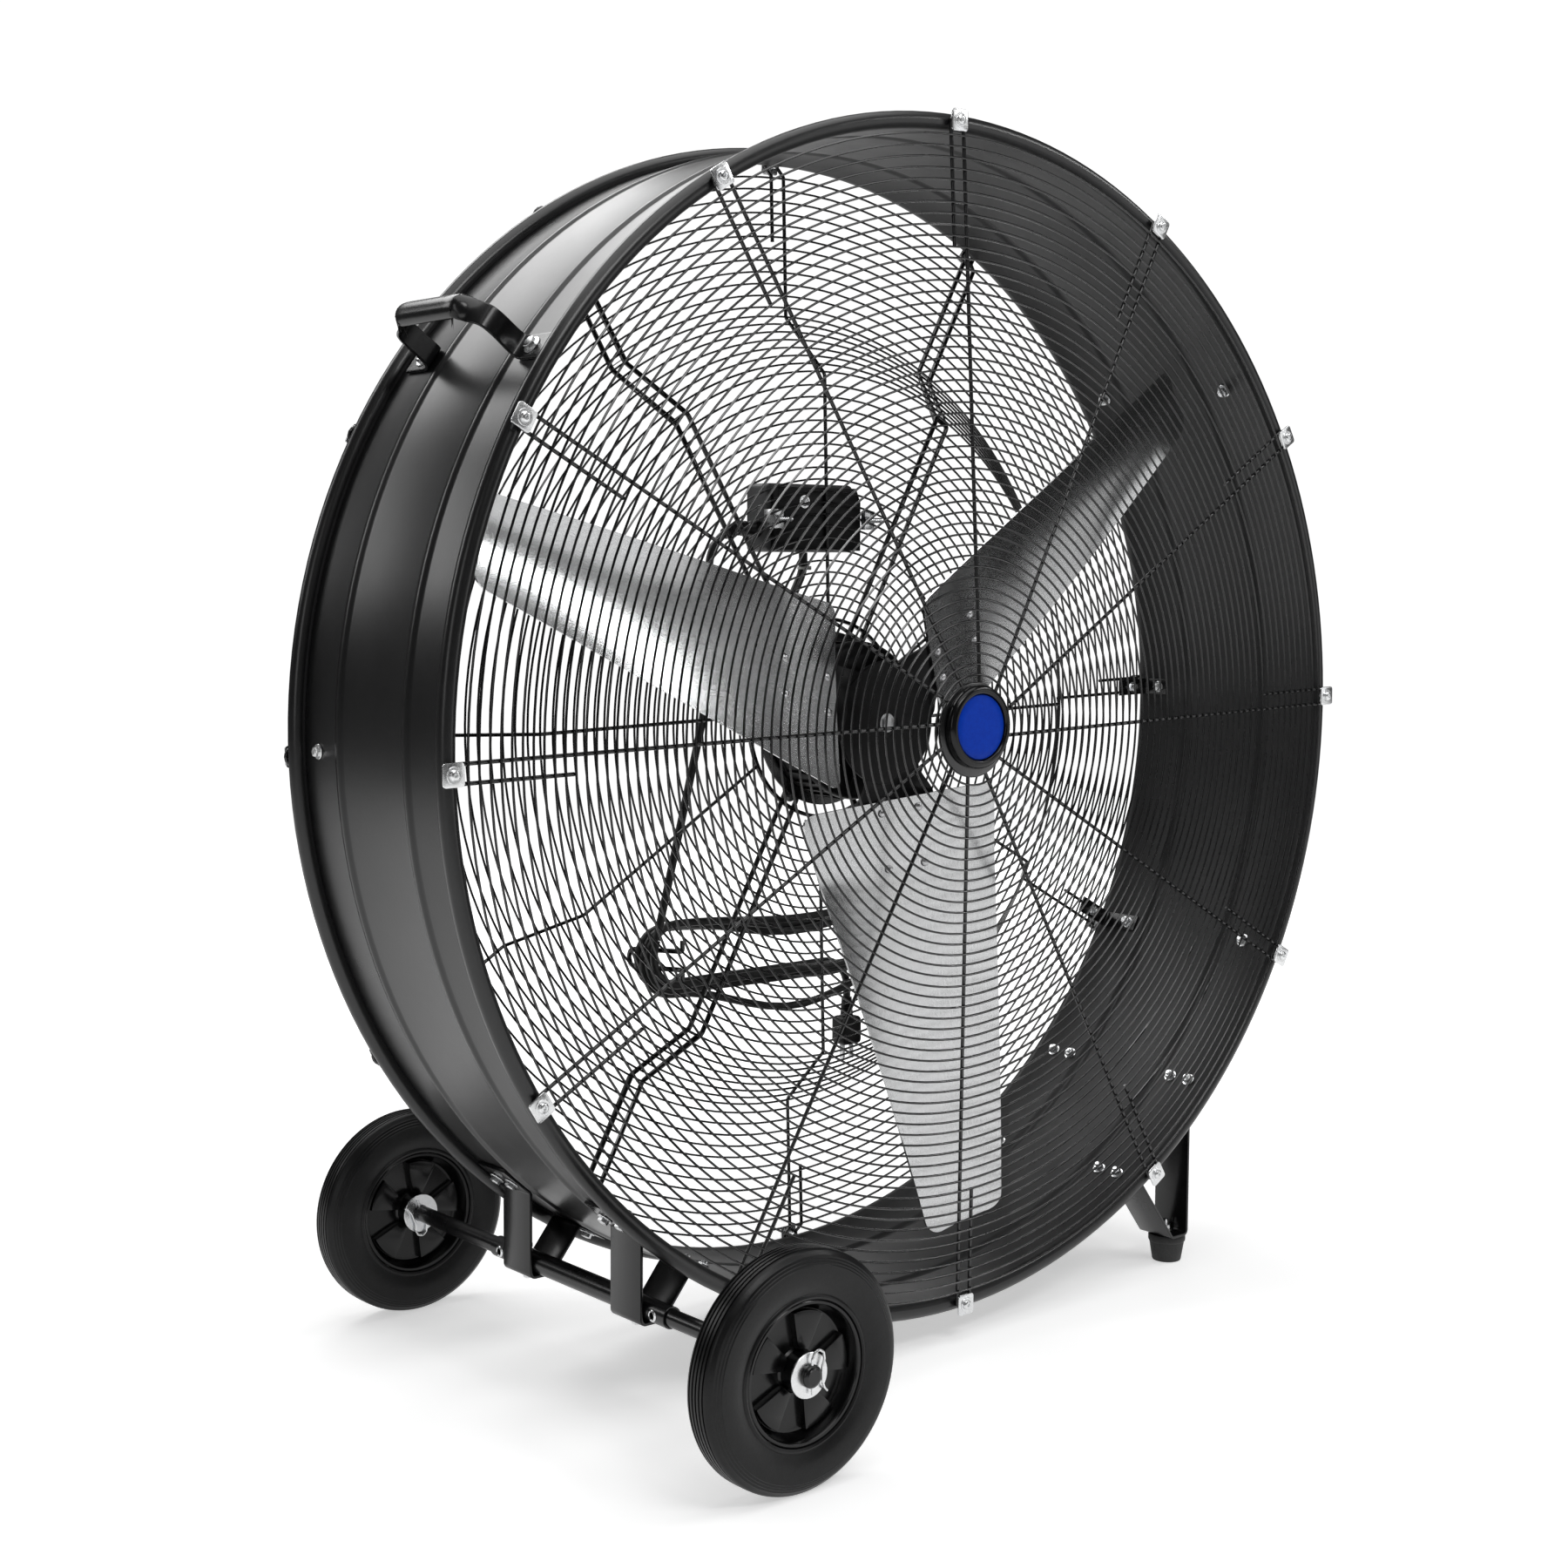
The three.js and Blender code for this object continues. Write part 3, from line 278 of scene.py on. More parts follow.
motorPaint = coated("motorPaint", {
    "deep": (0.0022, 0.0022, 0.0024), "light": (0.0050, 0.0050, 0.0054), "rough": (0.30, 0.44), "pebble": 340,
    "mottle": 18,
    "dust": 0.06, "strength": 0.26, "height": 0.0005, "set": {"IOR": 1.24}})
bladeMetal = metal("bladeMetal", {
    "deep": (0.46, 0.465, 0.47), "light": (0.82, 0.825, 0.83), "cloud": (0.72, 0.725, 0.73), "rough": (0.14, 0.19),
    "grit": 0.03,
    "scale": 150, "stretch": 0.10, "mottle": 1.4, "strength": 0.02, "height": 0.0006, "uv": "bladeUV",
    "set": {"Metallic": 1.0}})
rivetMetal = metal("rivetMetal", {
    "deep": (0.55, 0.55, 0.56), "light": (0.74, 0.74, 0.75), "cloud": (0.62, 0.62, 0.63), "rough": (0.22, 0.34),
    "grit": 0.05,
    "scale": 900, "stretch": 0.4, "mottle": 60, "strength": 0.10, "height": 0.0002, "set": {"Metallic": 1.0}})
zincPlate = metal("zincPlate", {
    "deep": (0.66, 0.67, 0.69), "light": (0.86, 0.87, 0.88), "cloud": (0.80, 0.80, 0.78), "rough": (0.20, 0.34),
    "grit": 0.05,
    "scale": 700, "stretch": 0.3, "mottle": 40, "strength": 0.10, "height": 0.0002, "set": {"Metallic": 1.0}})
turnedSteel = metal("turnedSteel", {
    "deep": (0.34, 0.345, 0.35), "light": (0.55, 0.555, 0.56), "cloud": (0.46, 0.46, 0.46), "rough": (0.24, 0.36),
    "grit": 0.06,
    "scale": 1400, "stretch": 6.0, "mottle": 30, "strength": 0.12, "height": 0.0002, "set": {"Metallic": 1.0}})
brass = metal("brass", {
    "deep": (0.72, 0.50, 0.12), "light": (0.86, 0.63, 0.20), "cloud": (0.78, 0.56, 0.16), "rough": (0.22, 0.34),
    "grit": 0.05,
    "scale": 900, "stretch": 0.5, "mottle": 60, "strength": 0.08, "height": 0.0002, "set": {"Metallic": 1.0}})
footRubber = coated("footRubber", {
    "deep": (0.012, 0.012, 0.012), "light": (0.022, 0.022, 0.022), "rough": (0.55, 0.72), "pebble": 500, "mottle": 30,
    "dust": 0.25, "strength": 0.3, "height": 0.0004, "set": {"IOR": 1.48}})
tyreRubber = coated("tyreRubber", {
    "deep": (0.0026, 0.0026, 0.0028), "light": (0.0052, 0.0052, 0.0056), "rough": (0.28, 0.40), "pebble": 520,
    "mottle": 12,
    "dust": 0.03, "strength": 0.16, "height": 0.0004, "set": {"IOR": 1.36}})
rimPlastic = coated("rimPlastic", {
    "deep": (0.0016, 0.0016, 0.0018), "light": (0.0032, 0.0032, 0.0035), "rough": (0.16, 0.26), "pebble": 260,
    "mottle": 16,
    "dust": 0.03, "strength": 0.06, "height": 0.0003, "set": {"IOR": 1.42}})
boxPlastic = coated("boxPlastic", {
    "deep": (0.003, 0.003, 0.0033), "light": (0.006, 0.006, 0.0065), "rough": (0.34, 0.48), "pebble": 800,
    "mottle": 24,
    "dust": 0.04, "strength": 0.28, "height": 0.0003, "set": {"IOR": 1.3}})
coverPlastic = coated("coverPlastic", {
    "deep": (0.040, 0.041, 0.042), "light": (0.055, 0.056, 0.057), "rough": (0.36, 0.48), "pebble": 800, "mottle": 24,
    "dust": 0.05, "strength": 0.28, "height": 0.0003, "set": {"IOR": 1.5}})
badgePlastic = coated("badgePlastic", {
    "deep": (0.002, 0.002, 0.0022), "light": (0.004, 0.004, 0.0044), "rough": (0.16, 0.24), "pebble": 600,
    "mottle": 30,
    "dust": 0.01, "strength": 0.06, "height": 0.0002, "set": {"IOR": 1.4}})
badgeBlue = coated("badgeBlue", {
    "deep": (0.0, 0.030, 0.34), "light": (0.0, 0.038, 0.40), "rough": (0.34, 0.44), "pebble": 900, "mottle": 40,
    "dust": 0.0, "strength": 0.05, "height": 0.0001, "set": {"IOR": 1.2}})
cordJacket = coated("cordJacket", {
    "deep": (0.008, 0.008, 0.008), "light": (0.015, 0.015, 0.015), "rough": (0.36, 0.50), "pebble": 1100, "mottle": 20,
    "dust": 0.08, "strength": 0.18, "height": 0.0002, "set": {"IOR": 1.48}})
tieNylon = coated("tieNylon", {
    "deep": (0.62, 0.62, 0.60), "light": (0.74, 0.74, 0.72), "rough": (0.35, 0.5), "pebble": 900, "mottle": 60,
    "dust": 0.05, "strength": 0.1, "height": 0.0001, "set": {"IOR": 1.5}})
dialInk = coated("dialInk", {
    "deep": (0.62, 0.62, 0.62), "light": (0.72, 0.72, 0.72), "rough": (0.4, 0.5), "pebble": 900, "mottle": 60,
    "dust": 0.05, "strength": 0.1, "height": 0.0001, "set": {"IOR": 1.5}})
print("finishes made")


# shapes: every one adds its own closed body to a bmesh, in millimetres
def settle(bm, before, matrix):
    fresh = [v for v in bm.verts if v not in before]
    bmesh.ops.remove_doubles(bm, verts=fresh, dist=1e-4)
    fresh = [v for v in bm.verts if v not in before]
    bmesh.ops.transform(bm, matrix=matrix, verts=fresh)
    bmesh.ops.recalc_face_normals(bm, faces=list({f for v in fresh for f in v.link_faces}))
    return fresh


def turnProfile(bm, profile, steps=96, closed=True, matrix=Matrix()):
    before = set(bm.verts)
    corners = [bm.verts.new((0, y, radius)) for radius, y in profile]
    pairs = list(zip(corners, corners[1:])) + ([(corners[-1], corners[0])] if closed else [])
    edges = [bm.edges.new(pair) for pair in pairs]
    bmesh.ops.spin(bm, geom=corners + edges, cent=(0, 0, 0), axis=(0, 1, 0), angle=2 * math.pi, steps=steps,
                   use_merge=True, use_duplicate=False)
    return settle(bm, before, matrix)


def addRings(bm, rings, wire, steps, sides=6):  # rings are (radius, y)
    before = set(bm.verts)
    for radius, y in rings:
        stand = movedTo(0, y, radius) @ turnedBy(90, "Y")
        bmesh.ops.create_circle(bm, cap_ends=False, segments=sides, radius=wire / 2, matrix=stand)
    fresh = [v for v in bm.verts if v not in before]
    bmesh.ops.spin(bm, geom=fresh + list({e for v in fresh for e in v.link_edges}), cent=(0, 0, 0), axis=(0, 1, 0),
                   angle=2 * math.pi, steps=steps, use_merge=True, use_duplicate=False)
    return settle(bm, before, Matrix())


def sweepWire(bm, line, radius, sides=8, matrix=Matrix(), closed=False):
    points = [Vector(p) for p in line]
    radii = radius if isinstance(radius, list) else [radius] * len(points)
    before = set(bm.verts)
    side = Vector((1, 0, 0)) if abs((points[1] - points[0]).normalized().x) < 0.9 else Vector((0, 1, 0))
    face, last = None, None
    for i, point in enumerate(points):
        into = (point - points[max(i - 1, 0)]).normalized()
        out = (points[min(i + 1, len(points) - 1)] - point).normalized()
        tangent = (into + out).normalized()
        side = (side - tangent * side.dot(tangent)).normalized()
        seat = Matrix((side, tangent.cross(side), tangent)).transposed().to_4x4()
        seat = Matrix.Translation(point) @ seat @ Matrix.Diagonal((radii[i], radii[i], 1, 1))
        if face is None:
            made = bmesh.ops.create_circle(bm, cap_ends=True, segments=sides, radius=1, matrix=seat)
            face = made["verts"][0].link_faces[0]
        else:
            made = bmesh.ops.extrude_face_region(bm, geom=[face])["geom"]
            face = next(g for g in made if isinstance(g, bmesh.types.BMFace))
            bmesh.ops.transform(bm, matrix=seat @ last.inverted(), verts=list(face.verts))
        last = seat
    if closed:
        ends = [f for f in {f for v in bm.verts if v not in before for f in v.link_faces} if len(f.verts) == sides]
        rims = list({e for f in ends for e in f.edges})
        bmesh.ops.delete(bm, geom=ends, context="FACES_ONLY")
        bmesh.ops.bridge_loops(bm, edges=rims)
    return settle(bm, before, matrix)


def copiesAround(bm, fresh, count, step):  # the same shape again, turned round the fan axis
    geom = fresh + list({e for v in fresh for e in v.link_edges}) + list({f for v in fresh for f in v.link_faces})
    bmesh.ops.spin(bm, geom=geom, cent=(0, 0, 0), axis=(0, 1, 0), angle=math.radians(step * (count - 1)),
                   steps=count - 1, use_duplicate=True, use_merge=False)


def roundedLine(corners, bend, steps=5):
    points = [Vector(c) for c in corners]
    bends = bend if isinstance(bend, (list, tuple)) else [bend] * (len(points) - 2)
    line = [points[0]]
    for before, corner, after, radius in zip(points, points[1:], points[2:], bends):
        into, out = (corner - before).normalized(), (after - corner).normalized()
        angle = into.angle(out)
        if angle < 0.02 or radius <= 0:
            line.append(corner)
            continue
        start = corner - into * (radius * math.tan(angle / 2))
        inward = (out - into * out.dot(into)).normalized()
        centre = start + inward * radius
        for i in range(steps + 1):
            turn = angle * i / steps
            line.append(centre - inward * (radius * math.cos(turn)) + into * (radius * math.sin(turn)))
    line.append(points[-1])
    return line


def offsetLine(line, distance):  # line is in X and Z
    moved = []
    for i, point in enumerate(line):
        into = (point - line[i - 1]).normalized() if i else (line[1] - point).normalized()
        out = (line[i + 1] - point).normalized() if i < len(line) - 1 else into
        mitre = Vector((-into.z - out.z, 0, into.x + out.x)).normalized()
        moved.append(point + mitre * (distance / (mitre.x * -into.z + mitre.z * into.x)))
    return moved


def extrudeOutline(bm, outline, low, high, round=0.5, matrix=Matrix()):  # outline in X and Z, depth along Y
    before = set(bm.verts)
    face = bm.faces.new([bm.verts.new((p[0], low, p[-1])) for p in outline])
    top = bmesh.ops.extrude_face_region(bm, geom=[face])["geom"]
    raised = [g for g in top if isinstance(g, bmesh.types.BMVert)]
    bmesh.ops.translate(bm, vec=(0, high - low, 0), verts=raised)
    if round:
        rims = [e for v in bm.verts if v not in before for e in v.link_edges]
        rims = [e for e in set(rims) if abs(e.verts[0].co.y - e.verts[1].co.y) < 1e-6]
        bmesh.ops.bevel(bm, geom=rims, offset=round, segments=2, profile=0.5, affect="EDGES", material=-1)
    return settle(bm, before, matrix)


def addStrap(bm, corners, sheet, low, high, bend, matrix=Matrix(), round=0.5):  # corners in X and Z
    line = roundedLine([(a, 0, b) for a, b in corners], bend)
    outline = offsetLine(line, sheet / 2) + offsetLine(line, -sheet / 2)[::-1]
    return extrudeOutline(bm, outline, low, high, round, matrix)


def roundedPlate(x0, x1, z0, z1, round, steps=5):
    corners = [(x1 - round, z1 - round, 0), (x0 + round, z1 - round, 90), (x0 + round, z0 + round, 180),
               (x1 - round, z0 + round, 270)]
    outline = []
    for x, z, start in corners:
        for i in range(steps + 1):
            angle = math.radians(start + 90 * i / steps)
            outline.append((x + round * math.cos(angle), 0, z + round * math.sin(angle)))
    return outline


def addBlock(bm, low, high, round, matrix=Matrix(), segments=2):
    before = set(bm.verts)
    size = [b - a for a, b in zip(low, high)]
    middle = [(a + b) / 2 for a, b in zip(low, high)]
    bmesh.ops.create_cube(bm, size=1, matrix=Matrix.Translation(middle) @ Matrix.Diagonal((*size, 1)))
    edges = list({e for v in bm.verts if v not in before for e in v.link_edges})
    if round:
        bmesh.ops.bevel(bm, geom=edges, offset=round, segments=segments, profile=0.5, affect="EDGES", material=-1)
    return settle(bm, before, matrix)


def addCan(bm, radius, low, high, matrix, round=0.5, steps=24):  # its axis is the matrix's Z
    outline = [(0, low), (radius - round, low), (radius, low + round), (radius, high - round), (radius - round, high),
               (0, high)]
    return turnProfile(bm, outline, steps, False, matrix @ turnedBy(90, "X"))


def addHex(bm, across, low, high, matrix):  # a six-sided head with its top corners taken off
    before = set(bm.verts)
    middle = movedTo(0, 0, (low + high) / 2)
    bmesh.ops.create_cone(bm, cap_ends=True, segments=6, radius1=across / 1.732, radius2=across / 1.732,
                          depth=high - low, matrix=middle)
    rim = [e for v in bm.verts if v not in before for e in v.link_edges if min(e.verts[0].co.z,
                                                                               e.verts[1].co.z) > high - 0.01]
    bmesh.ops.bevel(bm, geom=list(set(rim)), offset=across * 0.07, segments=2, profile=0.5, affect="EDGES",
                    material=-1)
    return settle(bm, before, matrix)


def addBolt(bm, matrix, across=10, washer=8.6, head=4.2):
    addCan(bm, washer, 0, 1.3, matrix, 0.35, 20)
    addHex(bm, across, 1.3, 1.3 + head, matrix)
    addCan(bm, across * 0.34, 1.3 + head - 0.2, 1.7 + head, matrix, 0.3, 14)


def addNut(bm, matrix, across=10, washer=8.6, head=5, stub=3.5):
    addCan(bm, washer, 0, 1.2, matrix, 0.35, 20)
    addHex(bm, across, 1.2, 1.2 + head, matrix)
    addCan(bm, across * 0.3, 1 + head, 1.2 + head + stub, matrix, 0.6, 14)


def addPanHead(bm, matrix, radius=4.8, height=2.8):  # a round head with a cross recess
    addCan(bm, radius + 2.4, 0, 0.8, matrix, 0.3, 20)
    profile = [(0, 0.8), (radius, 0.8), (radius, 0.8 + height * 0.45), (radius * 0.86, 0.8 + height * 0.78),
               (radius * 0.55, 0.8 + height), (radius * 0.36, 0.8 + height), (radius * 0.26, 0.8 + height * 0.5),
               (0, 0.8 + height * 0.4)]
    turnProfile(bm, profile, 20, False, matrix @ turnedBy(90, "X"))


def addPiece(name, bm, finish, body="stand", stands=(), place=fromAxis, crease=38):
    bmesh.ops.transform(bm, matrix=place, verts=bm.verts)
    mesh = bpy.data.meshes.new(name)
    bm.to_mesh(mesh)
    bm.free()
    mesh.materials.append(finish)
    mesh.shade_smooth()
    mesh.set_sharp_from_angle(angle=math.radians(crease))
    piece = bpy.data.objects.new(name, mesh)
    bpy.context.scene.collection.objects.link(piece)
    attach(piece, body)
    if stands:
        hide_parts(*stands)
    return piece


# cords: the lead leaves the gland, meets the folded hank, and the plug hangs from it
cord = {"radius": 4, "end": 0.3, "leadBend": 40, "motorRadius": 4.5, "motorBend": 36}
hank = {"turns": 3, "reach": 196, "top": -196, "topStep": -3, "bottoms": (-259, -266, -271, -262),
        "topSags": (10, 22, 14), "bottomSags": (1, 2, 31), "depth": 90.8, "depthStep": 8.8, "start": 165,
        "plugX": 80, "plugTop": -304, "exitBend": 32, "bendSteps": 14, "runSteps": 12}
gland = {"box": -64, "y": 94, "z": 190, "length": 13}
plug = {"cable": 5.4, "relief": 7, "reliefLength": 22, "halfWidth": 13, "halfDepth": 10, "length": 28, "prong": 6.35}


def turnSize(turn):
    top = hank["top"] + turn * hank["topStep"]
    bottom = hank["bottoms"][turn]
    radius = (top - bottom) / 2
    return (top + bottom) / 2, radius, hank["reach"] - radius, hank["depth"] + turn * hank["depthStep"]


def onBend(turn, side, angle):
    middle, radius, half, y = turnSize(turn)
    angle = math.radians(angle)
    return Vector((side * half + radius * math.cos(angle), y, middle + radius * math.sin(angle)))


def hankLine():
    line = []

    def bend(turn, side, low, high, steps):
        for i in range(steps + 1):
            line.append(onBend(turn, side, low + (high - low) * i / steps))

    entry, start = onBend(0, -1, hank["start"]), math.radians(hank["start"])
    line.append(entry + Vector((math.sin(start), 0, -math.cos(start))) * 2 * cord["radius"])
    shares = [i / (hank["runSteps"] + 1) for i in range(1, hank["runSteps"] + 1)]
    for turn in range(hank["turns"]):
        bend(turn, -1, 90 if turn else hank["start"], 270, hank["bendSteps"])
        middle, radius, half, y = turnSize(turn)
        for share in shares:
            sag = hank["bottomSags"][turn] * math.sin(share * math.pi) ** 2
            line.append(Vector((half * (2 * share - 1), y, middle - radius - sag)))
        bend(turn, 1, -90, 90, hank["bendSteps"])
        here, there = onBend(turn, 1, 90), onBend(turn + 1, -1, 90)
        for share in shares:
            climb = share * share * (3 - 2 * share)
            sag = hank["topSags"][turn] * math.sin(share * math.pi) ** 2
            line.append(Vector((here.x + (there.x - here.x) * share, here.y + (there.y - here.y) * climb,
                                here.z + (there.z - here.z) * climb - sag)))
    bend(hank["turns"], -1, 90, 270, hank["bendSteps"])
    middle, radius, half, y = turnSize(hank["turns"])
    for i in range(11):
        angle = math.radians(90 * i / 10)
        line.append(Vector((hank["plugX"] - hank["exitBend"] * (1 - math.sin(angle)), y,
                            middle - radius - hank["exitBend"] * (1 - math.cos(angle)))))
    line.append(Vector((hank["plugX"], y, hank["plugTop"])))
    return line


def leadLine(loops):
    into = (loops[1] - loops[0]).normalized()
    end = loops[0] - into * cord["end"]
    low = end + into * ((5 - end.z) / into.z)
    start = Vector((gland["box"] - gap - gland["length"] - cord["end"], gland["y"], gland["z"]))
    return roundedLine([start, start + Vector((-45, 0, 0)), low, end], cord["leadBend"], 14)


def evenLine(line, step):  # a long straight stretch gets points along it too
    even = [line[0]]
    for point in line[1:]:
        pieces = max(1, round((point - even[-1]).length / step))
        start = even[-1]
        even += [start.lerp(point, (i + 1) / pieces) for i in range(pieces)]
    return even


def buildCords():
    loops = hankLine()
    bm = bmesh.new()
    sweepWire(bm, loops, cord["radius"], 12)
    coil = addPiece("cordHank", bm, cordJacket, stands=["cord_hank"])
    lead = evenLine(leadLine(loops), 12)
    bm = bmesh.new()
    sweepWire(bm, lead, cord["radius"], 12)
    free = addPiece("cordLead", bm, cordJacket, stands=["cord_lead"])
    end = addPiece("powerPlug", buildPlug(turnSize(hank["turns"])[3]), boxPlastic, stands=["power_plug"])
    prongs = addPiece("plugProngs", buildProngs(turnSize(hank["turns"])[3]), rivetMetal)
    inner = evenLine(roundedLine([(2, 100, 166.7), (2, 100, 148), (-18, 100, 112), (-18, 100, 62), (-18, 63.95, 62)],
                                 (cord["motorBend"],) * 3, 10), 12)
    bm = bmesh.new()
    sweepWire(bm, inner, cord["motorRadius"], 12)
    motorCable = addPiece("motorCable", bm, cordJacket, stands=["motor_cable"])
    bm = bmesh.new()
    band = cord["motorRadius"]
    turnProfile(bm, [(band + 0.1, -1.4), (band + 1.5, -1.4), (band + 1.5, 1.4), (band + 0.1, 1.4)], 24, True,
                movedTo(2, 100, 151) @ turnedBy(90, "X"))
    addBlock(bm, (2 + band, 96.5, 149), (6 + band, 101.5, 153), 0.6)
    addPiece("motorCableTie", bm, tieNylon)
    bm = bmesh.new()  # the lead's tapered bend relief, with its ribs
    sleeve = [p for p in lead if (p - lead[0]).length < 30]
    sleeve = evenLine(sleeve, 1.5)
    sizes = [7.4 - 2.3 * i / len(sleeve) + (0.45 if i % 3 else -0.35) for i in range(len(sleeve))]
    sweepWire(bm, sleeve, sizes, 16)
    addPiece("cordRelief", bm, boxPlastic)


def buildPlug(y):
    seat = movedTo(hank["plugX"], y, hank["plugTop"] - cord["end"] - plug["reliefLength"])
    bm = bmesh.new()
    profile = [(0, 0)]
    for i in range(12):
        share = i / 11
        size = plug["relief"] + (plug["cable"] - plug["relief"]) * share
        profile += [(size + 0.3, share * plug["reliefLength"]), (size - 0.4, share * plug["reliefLength"])]
    profile.append((0, plug["reliefLength"]))
    turnProfile(bm, profile, 20, False, seat @ turnedBy(90, "X"))
    width, depth, length = plug["halfWidth"], plug["halfDepth"], plug["length"]
    extrudeOutline(bm, roundedPlate(-width, width, -length, 2, 5), -depth, depth, 2.5, seat)
    for i in range(4):
        for side in (-1, 1):
            x = side * (width - 0.2)
            addBlock(bm, (x - 0.6, -6, -6 - 4 * i), (x + 0.6, 6, -4 - 4 * i), 0.4, seat, 1)
    return bm


def buildProngs(y):
    seat = movedTo(hank["plugX"], y, hank["plugTop"] - cord["end"] - plug["reliefLength"])
    bm = bmesh.new()
    for side in (-1, 1):
        x = side * plug["prong"]
        addBlock(bm, (x - 0.8, -3.2, -44.5), (x + 0.8, 3.2, -27.5), 0.5, seat, 2)
    addCan(bm, 2.4, -45.5, -27.5, seat @ movedTo(0, 6, 0), 1.0, 16)
    return bm


buildCords()
print("cords laid")

drum = {"skin": 557, "sheet": 2, "bead": 561, "beadSize": 8, "beadAt": 122, "ribAt": 55, "ribWidth": 16,
        "ribHeight": 2.4, "steps": 180}


def beadArc(side):
    size, bead, skin = drum["beadSize"], drum["bead"], drum["skin"]
    first = math.degrees(math.acos((skin - drum["sheet"] - bead) / size))
    last = 360 + math.degrees(math.acos((skin - bead) / size))
    angles = [math.radians(first + (last - first) * i / 16) for i in range(17)]
    arc = [(bead + size * math.cos(a), side * (drum["beadAt"] - size * math.sin(a))) for a in angles]
    return arc if side < 0 else arc[::-1]


def ribSection(side, shift=0.0):
    section = []
    for i in range(-5, 6):
        share = i / 5
        rise = drum["ribHeight"] * (0.5 + 0.5 * math.cos(math.pi * share))
        section.append((drum["skin"] + shift + rise, side * drum["ribAt"] + share * drum["ribWidth"] / 2))
    return section


def buildDrum():
    outer = ribSection(-1) + ribSection(1)
    inner = (ribSection(-1, -drum["sheet"]) + ribSection(1, -drum["sheet"]))[::-1]
    bm = bmesh.new()
    turnProfile(bm, beadArc(-1) + outer + beadArc(1) + inner, drum["steps"])
    middle = drum["skin"] - drum["sheet"] / 2
    for face in bm.faces:  # the second finish, the lighter copy whose colour is painted sheen, goes on what lies inside the middle of the sheet
        place = face.calc_center_median()
        face.material_index = int(math.hypot(place.x, place.z) < middle + drum["ribHeight"]
                                  and face.normal.x * place.x + face.normal.z * place.z < 0)
    shell = addPiece("drumShell", bm, drumPaint, stands=["drum_shell"], crease=50)
    shell.data.materials.append(insidePaintedSheen)


buildDrum()
print("drum built")

front = {"turn": -1.2, "wire": 3.6, "ring": 2.2, "rim": -132.2, "hub": -150, "reach": 567, "hubRadius": 42, "half": 8,
         "shortLeg": 447, "firstRing": 548, "lastRing": 52, "pitch": 10.1}


def frontDepth(radius):
    return front["rim"] + (front["hub"] - front["rim"]) * (553 - radius) / (553 - front["hubRadius"])


def uTurn(half, y, reach, steps=8):
    return [Vector((half * math.cos(math.pi * i / steps), y, reach - half + half * math.sin(math.pi * i / steps)))
            for i in range(steps + 1)]


def buildFrontGuard():
    bm = bmesh.new()
    half, rim = front["half"], front["rim"]
    path = [Vector((half, frontDepth(front["hubRadius"]), front["hubRadius"])), Vector((half, rim, 553))]
    path += uTurn(half, rim, front["reach"])
    path += [Vector((-half, rim, 553)), Vector((-half, frontDepth(front["shortLeg"]), front["shortLeg"]))]
    copiesAround(bm, sweepWire(bm, path, front["wire"] / 2, 8), 12, 30)
    turnProfile(bm, [(34, -151.8), (44, -151.8), (45, -150.8), (45, -148.4), (44, -147.4), (34, -147.4)], 64)
    seat = (front["wire"] + front["ring"]) / 2 - 0.3
    count = round((front["firstRing"] - front["lastRing"]) / front["pitch"])
    radii = [front["firstRing"] + (front["lastRing"] - front["firstRing"]) * i / count for i in range(count + 1)]
    addRings(bm, [(r, frontDepth(r) - seat) for r in radii], front["ring"], 144)
    addPiece("frontGuard", bm, wireCoat, stands=["front_grille"],
             place=fromAxis @ clockTurn(front["turn"]), crease=60)


clip = {"half": 10, "round": 3, "sheet": 2, "radius": 562, "rearRadius": 556, "nut": 8, "nutDepth": 9, "head": 4.8,
        "headHeight": 2.6}


def addClip(bm, seat, side, turn):  # a plate, its screw, and the shank and nut behind it; side is -1 at the front
    half, outer = clip["half"], seat + side * clip["sheet"]
    extrudeOutline(bm, roundedPlate(-half, half, -half, half, clip["round"]), min(seat, outer), max(seat, outer), 0.5,
                   turn)
    way = toFront if side < 0 else toBack
    addPanHead(bm, turn @ way(0, outer, 0), clip["head"], clip["headHeight"])
    addHex(bm, clip["nut"], -clip["nutDepth"], -1.0, turn @ way(0, seat, 0))


def buildFrontClips():
    for i in range(12):
        bm = bmesh.new()
        addClip(bm, front["rim"] - front["wire"] / 2 - gap, -1, Matrix())
        turn = fromAxis @ clockTurn(front["turn"] + 30 * i) @ movedTo(0, 0, clip["radius"])
        addPiece(f"frontClip{i + 1:02d}", bm, zincPlate, stands=[f"front_clip_{i + 1:02d}"],
                 place=turn)


# the badge sits a little high on the guard, as photographed
badge = {"outer": 39.4, "inner": 31.4, "back": -152.15, "forward": 3, "up": 3}


